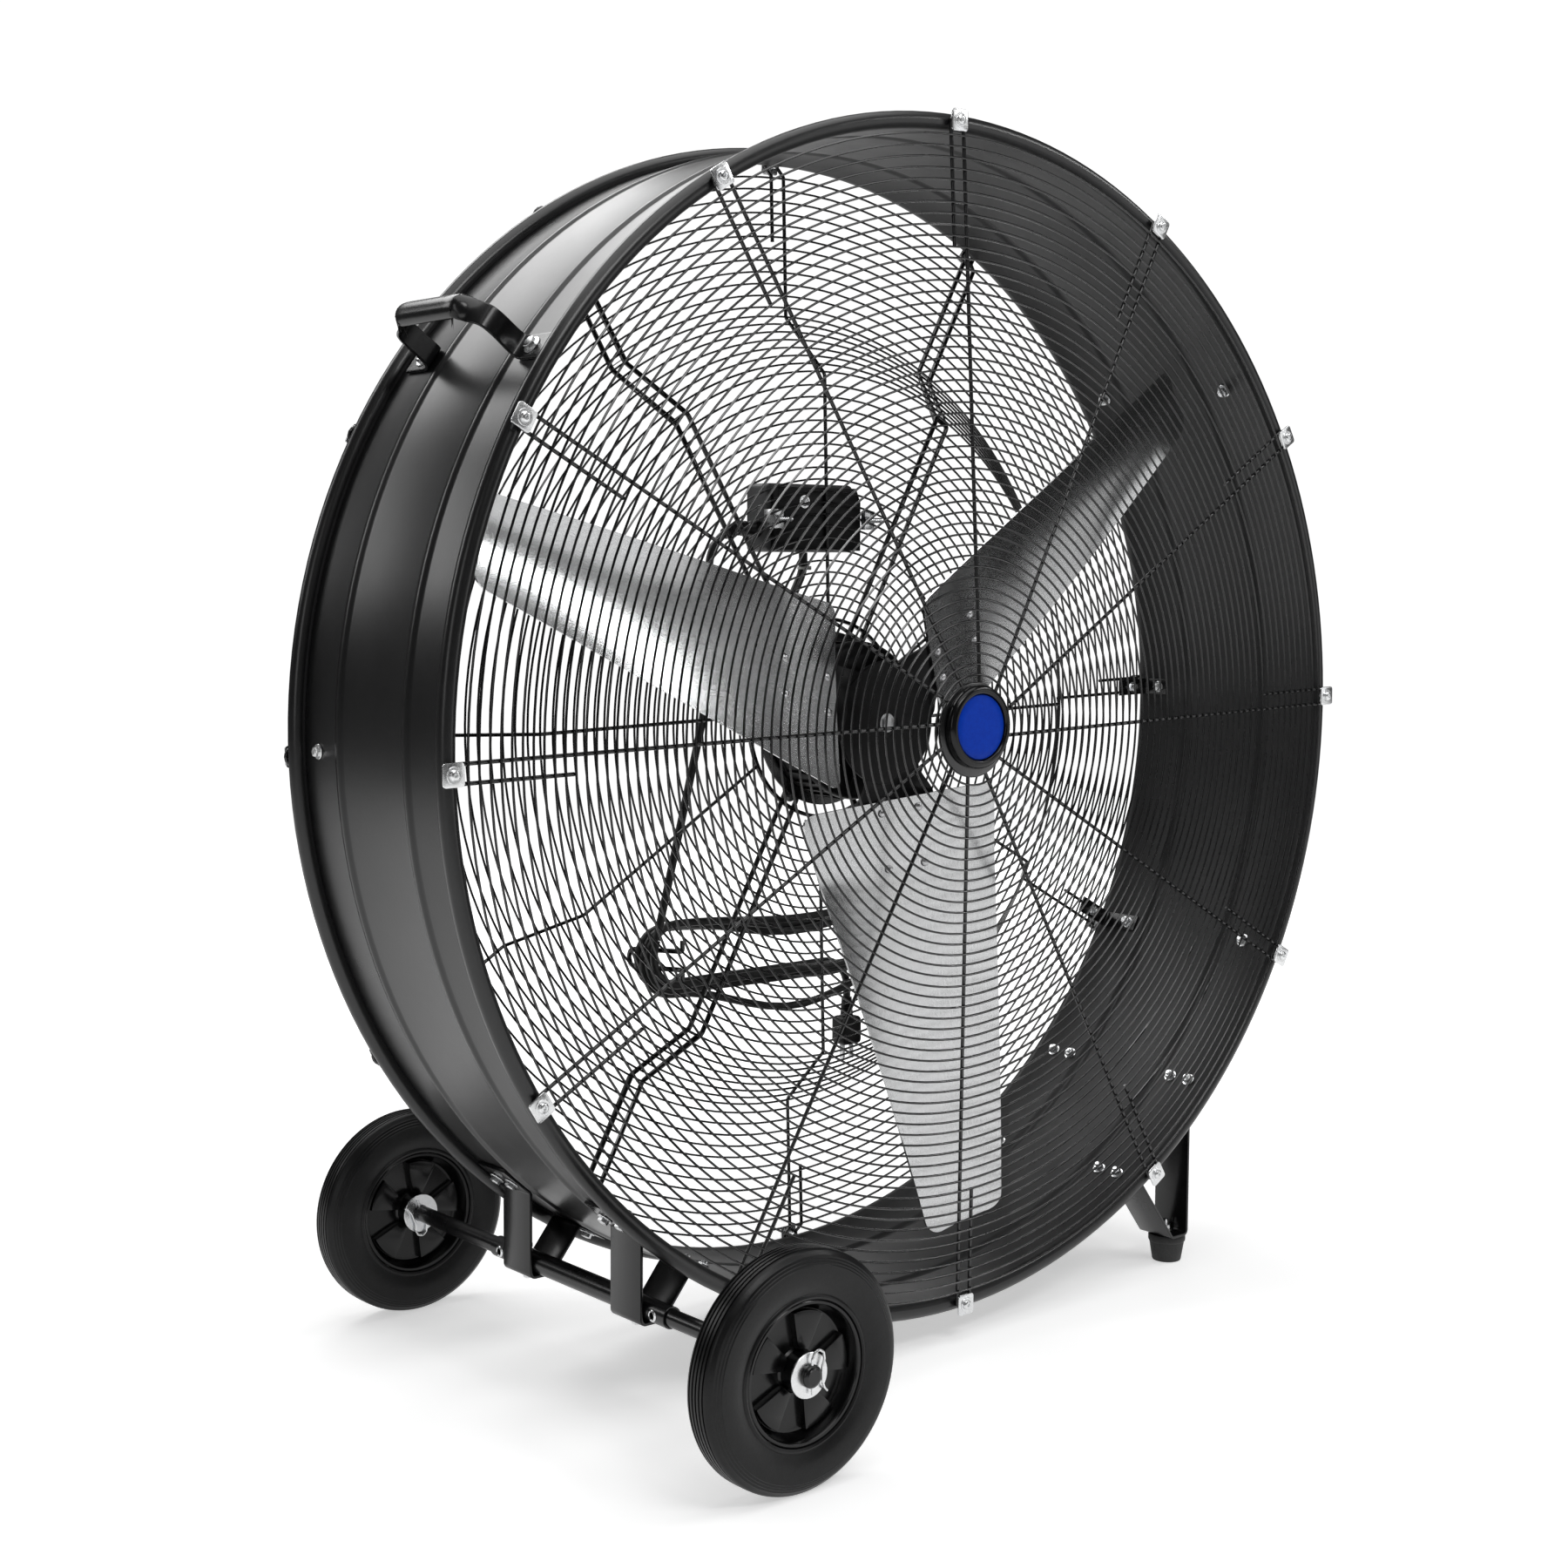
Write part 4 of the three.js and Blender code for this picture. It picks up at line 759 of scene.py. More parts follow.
def buildBadge():
    back, outer, inner = badge["back"], badge["outer"], badge["inner"]
    face = back - badge["forward"]
    place = fromAxis @ clockTurn(front["turn"]) @ movedTo(0, 0, badge["up"])
    bm = bmesh.new()
    profile = [(0, back), (outer - 1, back), (outer, back - 1), (outer, face - 3), (outer - 0.8, face - 4.8),
               (outer - 2.4, face - 6.2),
               (outer - 4.5, face - 6.9), (outer - 6, face - 7), (inner + 1.2, face - 6.7), (inner + 0.2, face - 6),
               (inner, face - 5),
               (inner, face - 2.2), (inner - 0.2, face - 2), (0, face - 2)]
    turnProfile(bm, profile, 72, False)
    addPiece("badgeRing", bm, badgePlastic, stands=["grille_badge_ring"], place=place, crease=60)
    bm = bmesh.new()
    low, disc = face - 2.35, inner - 0.7
    turnProfile(bm, [(0, low), (disc - 0.2, low), (disc, low - 0.2), (disc, low - 1.8), (disc - 0.7, low - 2.3),
                     (disc - 8, low - 2.8),
                     (12, low - 3.1), (0, low - 3.2)], 72, False)
    addPiece("badgeDisc", bm, badgeBlue, stands=["badge_disc"], place=place, crease=60)


buildFrontGuard()
buildFrontClips()
buildBadge()
print("front guard built")

rear = {"turn": -1.5, "wire": 3.6, "ring": 2.2, "rim": 132.2, "outer": 123, "inner": 64.5, "stepOuter": 404,
        "stepInner": 344,
        "hub": 98, "reach": 567, "half": 8, "shortLeg": 478, "pitch": 11.6,
        "spokes": (0, 60, 90, 120, 180, 240, 270, 300),
        "struts": (30, 150, 210, 330), "strutWire": 5, "strutHalf": 8.5, "strutLift": 2.2, "strutEnd": 80}
rearLine = [(553, rear["rim"]), (543, rear["outer"]), (rear["stepOuter"], rear["outer"]),
            (rear["stepInner"], rear["inner"]),
            (rear["hub"], rear["inner"])]


def ringPlaces():  # rings lie on the front side of the spokes, at even steps along them
    line = [Vector((r, y)) for r, y in rearLine[1:]]
    seat = (rear["wire"] + rear["ring"]) / 2 - 0.3
    places, left = [], 2.0
    for start, end in zip(line, line[1:]):
        along = (end - start).normalized()
        normal = Vector((-along.y, along.x))
        normal = normal if normal.y < 0 else -normal
        length = (end - start).length
        while left < length:
            at = start + along * left + normal * seat
            places.append((at.x, at.y))
            left += rear["pitch"]
        left -= length
    return places


def buildRearGuard():
    bm = bmesh.new()
    half = rear["half"]
    for clock in rear["spokes"]:
        down = roundedLine([Vector((half, y, r)) for r, y in rearLine[::-1]], (6, 6, 3), 4)
        up = [Vector((-half, rear["rim"], 553)), Vector((-half, rear["outer"], 543)),
              Vector((-half, rear["outer"], rear["shortLeg"]))]
        sweepWire(bm, down + uTurn(half, rear["rim"], rear["reach"]) + up, rear["wire"] / 2, 8, clockTurn(clock))
    addRings(bm, ringPlaces(), rear["ring"], 144)
    turnProfile(bm, [(98, 60), (101.5, 60), (101.5, 63.5), (98, 63.5)], 96)
    addPiece("rearGuard", bm, wireCoat, stands=["rear_grille"],
             place=fromAxis @ clockTurn(rear["turn"]), crease=60)


def buildRearClips():  # one over each hairpin at the rear bead
    bm = bmesh.new()
    for i in range(12):
        turn = clockTurn(30 * i) @ movedTo(0, 0, clip["rearRadius"])
        addClip(bm, rear["rim"] + rear["wire"] / 2 + gap, 1, turn)
    addPiece("rearClips", bm, zincPlate, place=fromAxis @ clockTurn(rear["turn"]))


def buildStruts():
    half, lift = rear["strutHalf"], rear["strutLift"]
    flat = [Vector((r, 0, y)) for r, y in rearLine[:4] + [(rear["strutEnd"] + half, rear["inner"])]]
    moved = [(p.x, p.z) for p in offsetLine(flat, -lift)]
    rim = rear["rim"] + (rear["strutWire"] - rear["wire"]) / 2
    for i, clock in enumerate(rear["struts"]):
        bm = bmesh.new()
        down = roundedLine([Vector((-half, y, r)) for r, y in moved], (3, 8, 8), 4)
        inner = [Vector((-half * math.cos(math.pi * k / 8), moved[-1][1],
                         rear["strutEnd"] + half - half * math.sin(math.pi * k / 8)))
                 for k in range(1, 8)]
        up = roundedLine([Vector((half, y, r)) for r, y in moved[::-1]], (8, 8, 3), 4)
        sweepWire(bm, uTurn(half, rim, rear["reach"])[1:-1] + down + inner + up, rear["strutWire"] / 2, 8, closed=True)
        addPiece(f"motorStrut{i + 1}", bm, wireCoat, stands=[f"motor_strut_{i + 1}"],
                 place=fromAxis @ clockTurn(rear["turn"] + clock), crease=60)


tab = {"wall": 553.4, "plane": 116, "end": 505, "bolt": 526, "half": 9, "sheet": 2}
spokeSide = Matrix(((0, 1, 0, 0), (0, 0, 1, 0), (1, 0, 0, 0), (0, 0, 0, 1)))  # drawn radius and depth become Z and Y


def buildGuardTabs():  # flat tabs that hold the rear guard to the drum's wall
    bm = bmesh.new()
    bolts = bmesh.new()
    for clock, y in ((88.7, 97), (118.1, 81), (269.2, 91)):
        addStrap(bm, [(tab["wall"], y - 11), (tab["wall"], tab["plane"]), (tab["end"], tab["plane"])], tab["sheet"],
                 -tab["half"], tab["half"], 4, clockTurn(clock) @ spokeSide)
        addNut(bolts, atClock(clock, tab["wall"] - 1, y) @ turnedBy(180, "X"), 8, 6.4, 4.2, 2)
        addBolt(bolts, atClock(clock, drum["skin"], y), 8, 6.8, 3.6)
        addNut(bolts, clockTurn(clock) @ toFront(0, tab["plane"] - 1, tab["bolt"]), 8, 6.4, 4.2, 2)
    addPiece("guardTabs", bm, fittingPaint)
    addPiece("guardTabBolts", bolts, zincPlate)


buildRearGuard()
buildRearClips()
buildStruts()
buildGuardTabs()
print("rear guard built")

motor = {"radius": 80, "face": -3, "back": 60.3, "plate": 88, "sheet": 3, "shaft": 8, "tip": -33, "fins": 36}


def buildMotor():
    radius, face, back = motor["radius"], motor["face"], motor["back"]
    bm = bmesh.new()
    turnProfile(bm, [(0, face), (24, face), (26, face + 0.6), (28, face + 3), (34, face + 3.6), (60, face + 4),
                     (66, face + 5),
                     (74, face + 8.5), (78, face + 13), (79, face + 18), (79, face + 22), (77.6, face + 22.6),
                     (77.6, back - 11),
                     (79, back - 10.4), (79, back - 6), (77, back - 2), (73, back), (0, back)], 96, False)
    fin = addBlock(bm, (-1.1, face + 23, 76.8), (1.1, back - 11.5, radius - 0.05), 0.4)
    copiesAround(bm, fin, motor["fins"], 360 / motor["fins"])
    for i in range(6):
        rib = addBlock(bm, (-1.5, face + 1.6, 29), (1.5, face + 5.6, 70), 0.7)
        bmesh.ops.rotate(bm, verts=rib, cent=(0, 0, 0), matrix=Matrix.Rotation(math.radians(60 * i + 20), 3, "Y"))
    addPiece("motorHousing", bm, motorPaint, stands=["motor_housing"])
    bm = bmesh.new()
    low = back + gap
    edge, high = motor["plate"], low + motor["sheet"]
    turnProfile(bm, [(0, low), (edge - 1, low), (edge, low + 0.6), (edge, high - 0.6), (edge - 1, high), (0, high)],
                72, False)
    addPiece("motorPlate", bm, fittingPaint, stands=["motor_mount_plate"])
    bm = bmesh.new()
    for i in range(4):
        addBolt(bm, clockTurn(45 + 90 * i) @ toFront(0, face + 5, 58), 7, 5, 3)
    for clock in rear["struts"]:
        lift = rear["inner"] + rear["strutLift"] + rear["strutWire"] / 2
        addNut(bm, clockTurn(clock + rear["turn"]) @ toBack(0, lift, 84), 10, 9.5, 5, 3)
    addPiece("motorBolts", bm, zincPlate)
    bm = bmesh.new()
    addCan(bm, 6.5, 0, 2.5, clockTurn(291) @ toFront(0, face + 5.5, 68), 0.6, 20)
    addHex(bm, 6.5, 2.5, 5.5, clockTurn(291) @ toFront(0, face + 5.5, 68))
    addPiece("earthScrew", bm, brass)
    bm = bmesh.new()
    shaft = motor["shaft"]
    turnProfile(bm, [(0, motor["tip"] + 4), (7.4, motor["tip"] + 4), (shaft, motor["tip"] + 4.6), (shaft, face - gap),
                     (0, face - gap)], 48, False)
    addHex(bm, 13, -0.5, 3.6, toFront(0, motor["tip"] + 4, 0))
    addCan(bm, 9.5, -0.9, 0.1, toFront(0, motor["tip"] + 2.6, 0), 0.3, 24)
    addPiece("motorShaft", bm, turnedSteel, "fan_rotor", ["motor_shaft"])


fan = {"blades": 3, "firstClock": 170.3, "depth": -33.8, "tipDepth": -48.5, "pitch": 24, "tipPitch": 16,
       "twistFrom": 145,
       "root": 76, "tip": 520, "tipSlant": 4, "sheet": 2.4, "rootEdges": (-90, 95), "tipEdges": (-43, 38),
       "rootRound": 12,
       "tipRound": 15, "armReach": 166, "armHalf": 35, "armSheet": 4, "armFrom": 36, "twistStart": 50, "twistEnd": 78,
       "face": 61, "faceFrom": -30.2, "faceTo": -25.6, "boss": 21, "bossTo": -8, "rows": 56, "columns": 18,
       "halfWidths": (92, 40), "camber": 3, "midCamber": 5,
       "rivets": [(u, v) for u in (87.7, 144.6) for v in (-16.4, 18.4)]}


def bladeDepth(along, across):
    share = max((along - fan["twistFrom"]) / (fan["tip"] - fan["twistFrom"]), 0)
    low, high = math.tan(math.radians(fan["pitch"])), math.tan(math.radians(fan["tipPitch"]))
    wide, narrow = fan["halfWidths"]
    half = wide + (narrow - wide) * (along - fan["root"]) / (fan["tip"] - fan["root"])
    camber = fan["camber"] + fan["midCamber"] * math.sin(math.pi * 0.9 * min(share, 1))
    depth = fan["depth"] + (fan["tipDepth"] - fan["depth"]) * share
    return depth + across * (low + (high - low) * share) - camber * (across / half) ** 2


def cornerInset(distance, round):
    return round - math.sqrt(round ** 2 - (round - distance) ** 2) if distance < round else 0


def thicken(bm, thickness):  # an even wall both sides of the sheet, along Y
    top = bmesh.ops.extrude_face_region(bm, geom=list(bm.faces))["geom"]
    raised = [g for g in top if isinstance(g, bmesh.types.BMVert)]
    bmesh.ops.translate(bm, vec=(0, thickness, 0), verts=raised)
    bmesh.ops.translate(bm, vec=(0, -thickness / 2, 0), verts=bm.verts)
    bmesh.ops.recalc_face_normals(bm, faces=bm.faces)


def buildBlade(index):
    bm = bmesh.new()
    uv = bm.loops.layers.uv.new("bladeUV")
    bmesh.ops.create_grid(bm, x_segments=fan["columns"], y_segments=fan["rows"], size=1)
    length = fan["tip"] - fan["root"]
    for face in bm.faces:
        for loop in face.loops:
            loop[uv].uv = (loop.vert.co.x * 0.8 + 3 * index, loop.vert.co.y * 2.2)
    for vert in bm.verts:
        t = (vert.co.x + 1) / 2
        share = 0.5 - 0.5 * math.cos(math.pi * (vert.co.y + 1) / 2)
        inset = cornerInset(share * length, fan["rootRound"]) + cornerInset((1 - share) * length, fan["tipRound"])
        trailing = fan["rootEdges"][0] + (fan["tipEdges"][0] - fan["rootEdges"][0]) * share + inset
        leading = fan["rootEdges"][1] + (fan["tipEdges"][1] - fan["rootEdges"][1]) * share - inset
        across = trailing + (leading - trailing) * t
        along = fan["root"] + share * (length + fan["tipSlant"] * (2 * t - 1))
        vert.co = (across, bladeDepth(along, across), along)
    thicken(bm, fan["sheet"] / math.cos(math.radians(fan["pitch"])))
    clock = fan["firstClock"] + 120 * index
    addPiece(f"blade{index + 1}", bm, bladeMetal, "fan_rotor", [f"blade_{index + 1}"],
             fromAxis @ clockTurn(clock), 30)
    bm = bmesh.new()
    for u, v in fan["rivets"]:
        seat = movedTo(v, bladeDepth(u, v) - 1.2, u) @ turnedBy(fan["pitch"], "Z") @ turnedBy(90, "X")
        turnProfile(bm, [(0, 0), (4.4, 0), (4.2, 0.9), (3.2, 1.9), (1.7, 2.5), (0, 2.7)], 16, False,
                    seat @ turnedBy(90, "X"))
    addPiece(f"bladeRivets{index + 1}", bm, rivetMetal, "fan_rotor",
             place=fromAxis @ clockTurn(clock))


def armDepth(along, across, lift):  # flat at the disc, and at the blade's pitch under its root
    share = min(max((along - fan["twistStart"]) / (fan["twistEnd"] - fan["twistStart"]), 0), 1)
    twist = share * share * (3 - 2 * share)
    flat = (fan["faceFrom"] + fan["faceTo"]) / 2
    return flat + (bladeDepth(along, across) + lift - flat) * twist


def buildSpider():
    bm = bmesh.new()
    lift = (fan["sheet"] + fan["armSheet"]) / 2 / math.cos(math.radians(fan["pitch"])) + 1.15
    for index in range(fan["blades"]):
        arm = bmesh.new()
        bmesh.ops.create_grid(arm, x_segments=10, y_segments=40, size=1)
        for vert in arm.verts:
            share = (vert.co.y + 1) / 2
            along = fan["armFrom"] + (fan["armReach"] - fan["armFrom"]) * share
            narrow = 1 - 0.28 * max((share - 0.88) / 0.12, 0) ** 1.6
            across = fan["armHalf"] * vert.co.x * narrow
            vert.co = (across, armDepth(along, across, lift), along)
        thicken(arm, (fan["armSheet"] - 0.2) / math.cos(math.radians(fan["pitch"])))
        bmesh.ops.transform(arm, matrix=clockTurn(fan["firstClock"] + 120 * index), verts=arm.verts)
        made = bpy.data.meshes.new("spiderArm")
        arm.to_mesh(made)
        arm.free()
        bm.from_mesh(made)
        bpy.data.meshes.remove(made)
    boss = fan["boss"]
    low, high, reach = fan["faceFrom"], fan["faceTo"], fan["face"]
    turnProfile(bm, [(8.4, low + 0.6), (13, low + 0.6), (14, low), (reach - 1.5, low), (reach - 0.4, low + 0.4),
                     (reach, low + 1.4),
                     (reach, high - 0.8), (reach - 0.8, high), (boss + 2, high), (boss, high + 2),
                     (boss, fan["bossTo"] - 1),
                     (boss - 1, fan["bossTo"]), (8.4, fan["bossTo"])], 96)
    addPiece("fanSpider", bm, motorPaint, "fan_rotor", ["fan_spider"], crease=30)
    bm = bmesh.new()
    addCan(bm, 4.4, 0, 4, clockTurn(fan["firstClock"] + 60) @ movedTo(0, -16, 20.2), 0.8, 14)
    for index in range(fan["blades"]):
        for u, v in fan["rivets"]:
            seat = movedTo(v, bladeDepth(u, v) + lift + 2.2, u) @ turnedBy(-90, "X")
            turn = clockTurn(fan["firstClock"] + 120 * index)
            addCan(bm, 4, -0.6, 1.8, turn @ seat, 0.7, 14)
    addPiece("spiderRivets", bm, rivetMetal, "fan_rotor")


buildMotor()
for index in range(fan["blades"]):
    buildBlade(index)
buildSpider()
print("motor and fan built")

handle = {"clocks": (306.5, 52, 118), "names": ("Left", "Right", "Lower"), "sheet": 3, "bolts": 85, "seat": 558.85,
          "half": [  # y, radius of the crown, share of a half-round, flat width
              (-104, 558.85, 0, 25.5), (-80, 558.85, 0, 25.2), (-72, 558.85, 0, 24.5), (-67.2, 562.5, 0, 22),
              (-67, 574, 0, 21.2),
              (-68, 588, 0, 21), (-66, 599, 0, 21), (-59, 604.5, 0.04, 21), (-52, 609, 0.3, 23),
              (-47.5, 619, 0.86, 30),
              (-43, 622.3, 1, 33), (-20, 622.3, 1, 33)]}


def handleLine():  # corners cut three times over, so the strap bends softly
    line = [Vector(p) for p in handle["half"]]
    line += [Vector((-p[0], p[1], p[2], p[3])) for p in line[::-1]]
    for _ in range(3):
        cut = [line[0]]
        for a, b in zip(line, line[1:]):
            cut += [a.lerp(b, 0.25), a.lerp(b, 0.75)]
        line = cut + [line[-1]]
    return line


def cellOf(vert):  # the same for a vertex and its copy, until they move
    return tuple(int(c * 1000) for c in vert.co)


def thickenSheet(bm, thickness, round):  # an even wall both sides of a curved sheet, its edges rounded
    bm.normal_update()
    ways = {cellOf(v): v.normal.copy() for v in bm.verts}
    top = bmesh.ops.extrude_face_region(bm, geom=list(bm.faces))["geom"]
    raised = {g for g in top if isinstance(g, bmesh.types.BMVert)}
    for vert in bm.verts:
        vert.co += ways[cellOf(vert)] * (thickness / 2 if vert in raised else -thickness / 2)
    bmesh.ops.recalc_face_normals(bm, faces=bm.faces)
    rims = [e for e in bm.edges if e.calc_face_angle(0) > 1.1]
    bmesh.ops.bevel(bm, geom=rims, offset=round, segments=2, profile=0.5, affect="EDGES", material=-1)


def buildHandles():
    line = handleLine()
    for clock, name in zip(handle["clocks"], handle["names"]):
        bm = bmesh.new()
        last = len(line) - 1
        bmesh.ops.create_grid(bm, x_segments=14, y_segments=last, size=1)
        for vert in bm.verts:
            i = round((vert.co.y + 1) / 2 * last)
            y, crown, curl, width = line[i]
            into, out = line[max(i - 1, 0)], line[min(i + 1, last)]
            way = Vector((out.x - into.x, out.y - into.y)).normalized()
            across, drop = vert.co.x / 2 * width, 0
            if curl > 0.01:
                size = width / (curl * math.pi)
                turn = across / size
                across, drop = size * math.sin(turn), size * (1 - math.cos(turn))
            vert.co = (across, y + way.y * drop, crown - way.x * drop)
        thickenSheet(bm, handle["sheet"], 0.5)
        addPiece(f"handle{name}", bm, fittingPaint, stands=[f"handle_{name.lower()}"],
                 place=fromAxis @ clockTurn(clock))
        bm = bmesh.new()
        for y in (-handle["bolts"], handle["bolts"]):
            addBolt(bm, movedTo(0, y, handle["seat"] + handle["sheet"] / 2), 10, 8.5, 4.5)
            inside = movedTo(0, y, drum["skin"] - drum["sheet"]) @ turnedBy(180, "X")
            addNut(bm, inside, 10, 7.5, 4.5, 3)
        addPiece(f"handleBolts{name}", bm, zincPlate, place=fromAxis @ clockTurn(clock))


strap = {"sheet": 3, "width": 45, "at": 86.3}
flange = drum["skin"] + gap + strap["sheet"] / 2 + 0.4


def around(clock, radius):
    return (radius * math.sin(math.radians(clock)), radius * math.cos(math.radians(clock)))


legLine = [around(134, flange), around(137.9, flange), (375, -567.5), (351, -567.5), around(149.3, flange),
           around(152.6, flange)]
bracketLine = [around(224, flange), around(220, flange), (-360, -509.25), (-336, -509.25), around(212.9, flange),
               around(209.4, flange)]


def buildLegs():  # two legs and two wheel brackets, each one bent strap, with their feet and bolts
    for side, name in ((-1, "Front"), (1, "Rear")):
        low, high = side * strap["at"] - strap["width"] / 2, side * strap["at"] + strap["width"] / 2
        for line, piece, stands, clocks in ((legLine, "leg", "leg", (136.2, 150.8)),
                                            (bracketLine, "wheelBracket", "wheel_bracket", (221.8, 211.0))):
            bm = bmesh.new()
            addStrap(bm, line, strap["sheet"], low, high, 5, round=0.6)
            addPiece(f"{piece}{name}", bm, fittingPaint, stands=[f"{stands}_{name.lower()}"])
            bm = bmesh.new()
            for clock in clocks:
                for y in (-12.5, 12.5):
                    addBolt(bm, atClock(clock, flange + strap["sheet"] / 2 - 0.2, side * strap["at"] + y), 9, 7.6, 4)
                    inside = atClock(clock, drum["skin"] - drum["sheet"], side * strap["at"] + y) @ turnedBy(180, "X")
                    addNut(bm, inside, 9, 7, 4.4, 2.5)
            addPiece(f"{piece}Bolts{name}", bm, zincPlate)
        bm = bmesh.new()
        foot = movedTo(368, side * strap["at"], 0) @ turnedBy(90, "X")
        turnProfile(bm, [(0, 0), (13.5, 0), (15, 0.5), (15.6, 1.6), (18.6, 20), (18.6, 21), (19.8, 22.2), (20, 23.4),
                         (20, 28.4), (19.2, 29.6), (0, 29.65)],
                    64, False, foot)
        addPiece(f"rubberFoot{name}", bm, footRubber, stands=[f"rubber_foot_{name.lower()}"],
                 place=fromFloor)
        bm = bmesh.new()
        addNut(bm, movedTo(365, side * strap["at"], -567.5 + strap["sheet"] / 2), 11, 7.6, 6, 5)
        addBolt(bm, movedTo(-348, side * strap["at"], -509.25 - strap["sheet"] / 2) @ turnedBy(180, "X"), 9, 7, 3.4)
        addNut(bm, movedTo(-348, side * strap["at"], -509.25 + strap["sheet"] / 2 + 2 * axle["tube"] + 0.2), 7, 3.2, 4,
               3)
        addPiece(f"footBolts{name}", bm, zincPlate)


axle = {"radius": 8, "end": 326, "tube": 10, "tubeEnd": 137, "pin": 323, "hole": 121, "cap": 9.8}
wheel = {"x": -348, "y": 300, "radius": 101.6, "rim": 60, "hubHalf": 17.5, "panels": 5, "panelClock": 10.5,
         "panelFace": 8.5, "steps": 120}
fromAxle = movedTo(wheel["x"] / 1000, 0, wheel["radius"] / 1000) @ Matrix.Scale(0.001, 4)


def mirrored(half):  # a profile and its other half
    return half + [(r, -y) for r, y in half[::-1]]


def tyreSection():
    radius = wheel["radius"]
    half = [(60.6, -14), (61.2, -15.6), (63, -16.4), (64.6, -16.0), (65.4, -15.2), (67, -15.6), (72, -17.6),
            (79, -18.8), (86, -19),
            (89.4, -18.8), (90, -18.1), (91.8, -17.8), (92.4, -17.0), (94.2, -16.6), (94.8, -15.8), (96.6, -15.2),
            (97.2, -14.3),
            (99.6, -12.6), (100.9, -11.2)]
    tread = []
    for y in (-8.4, -4.2, 0, 4.2, 8.4):
        tread += [(radius - (0.2 if abs(y) > 8 else 0), y - 0.95), (radius - 1.7, y - 0.5), (radius - 1.7, y + 0.5),
                  (radius - (0.2 if abs(y) > 8 else 0), y + 0.95)]
    return half + tread + [(r, -y) for r, y in half[::-1]]


def buildWheels():
    for side, name in ((-1, "Front"), (1, "Rear")):
        body = f"wheel_{name.lower()}"
        seat = fromAxle @ movedTo(0, side * wheel["y"], 0)
        bm = bmesh.new()
        turnProfile(bm, tyreSection(), wheel["steps"])
        addPiece(f"tyre{name}", bm, tyreRubber, body, [f"tyre_{name.lower()}"], seat, 32)
        bm = bmesh.new()
        rim = wheel["rim"]
        turnProfile(bm, mirrored([(rim, -13), (rim + 0.4, -14.6), (rim - 0.6, -15.4), (rim - 2.6, -15.2),
                                  (rim - 3.4, -14.2),
                                  (rim - 4.2, -11), (52.4, -3.4), (51.2, -2.2), (49, -2)]), wheel["steps"])
        turnProfile(bm, mirrored([(8.4, -17.5), (15.4, -17.5), (16.4, -16.6), (17.4, -4), (19, -2.3), (25, -2),
                                  (49.2, -2)]), 72)
        for i in range(wheel["panels"]):
            turn = turnedBy(wheel["panelClock"] + 72 * i, "Y")
            corners = [(19, 16), (30, 18), (40, 18.5), (50.5, 18.5)]
            edge = [(r * math.sin(math.radians(-a)), 0, r * math.cos(math.radians(-a))) for r, a in corners]
            arc = [(50.5 * math.sin(math.radians(a)), 0, 50.5 * math.cos(math.radians(a))) for a in range(-15, 16, 5)]
            outline = edge + arc + [(-x, y, z) for x, y, z in edge[::-1]]
            extrudeOutline(bm, outline, -wheel["panelFace"], wheel["panelFace"], 0.9, turn)
        addPiece(f"wheelRim{name}", bm, rimPlastic, body, [f"wheel_rim_{name.lower()}"], seat)
        bm = bmesh.new()
        for outer in (-1, 1):
            low = side * wheel["y"] + outer * (wheel["hubHalf"] + gap + 1) - 1
            turnProfile(bm, [(8.4, low), (18.8, low), (19.2, low + 0.4), (19.2, low + 1.6), (18.8, low + 2),
                             (8.4, low + 2)], 48)
        addPiece(f"axleWashers{name}", bm, zincPlate,
                 stands=[f"washer_outer_{name.lower()}", f"washer_inner_{name.lower()}"],
                 place=fromAxle)
        bm = bmesh.new()
        hairpin = roundedLine([(0, 0, -15), (0, 0, 14), (2.5, 0, 19), (7.5, 0, 21), (12, 0, 18), (13, 0, 12),
                               (10.8, 0, 6),
                               (10.8, 0, -6), (13, 0, -12), (16, 0, -15)], (4, 3, 3, 3, 3, 5, 5, 4), 4)
        sweepWire(bm, hairpin, 1.1, 8, movedTo(0, side * axle["pin"], 0))
        addPiece(f"cotterPin{name}", bm, zincPlate, stands=[f"cotter_pin_{name.lower()}"],
                 place=fromAxle)
        bm = bmesh.new()
        inner = wheel["y"] - wheel["hubHalf"] - 4.5
        sweepWire(bm, hairpin, 1.1, 8, movedTo(0, side * inner, 0) @ turnedBy(160, "Y"))
        addPiece(f"innerCotter{name}", bm, zincPlate, place=fromAxle)


def cutHoles(piece, cutter):  # leaves the piece with the holes in its own mesh
    modifier = piece.modifiers.new("holes", "BOOLEAN")
    modifier.operation, modifier.object, modifier.solver = "DIFFERENCE", cutter, "EXACT"
    bpy.context.view_layer.update()
    made = bpy.data.meshes.new_from_object(piece.evaluated_get(bpy.context.evaluated_depsgraph_get()))
    piece.modifiers.clear()
    piece.data = made
    cut = cutter.data
    bpy.data.objects.remove(cutter)
    bpy.data.meshes.remove(cut)
    made.set_sharp_from_angle(angle=math.radians(38))


def holeCutter(places, radius, half):
    bm = bmesh.new()
    for y in places:
        addCan(bm, radius, -half, half, movedTo(0, y, 0) @ turnedBy(90, "Y"), 0.01, 20)
    bmesh.ops.transform(bm, matrix=fromAxle, verts=bm.verts)
    mesh = bpy.data.meshes.new("holeCutter")
    bm.to_mesh(mesh)
    bm.free()
    cutter = bpy.data.objects.new("holeCutter", mesh)
    bpy.context.scene.collection.objects.link(cutter)
    return cutter


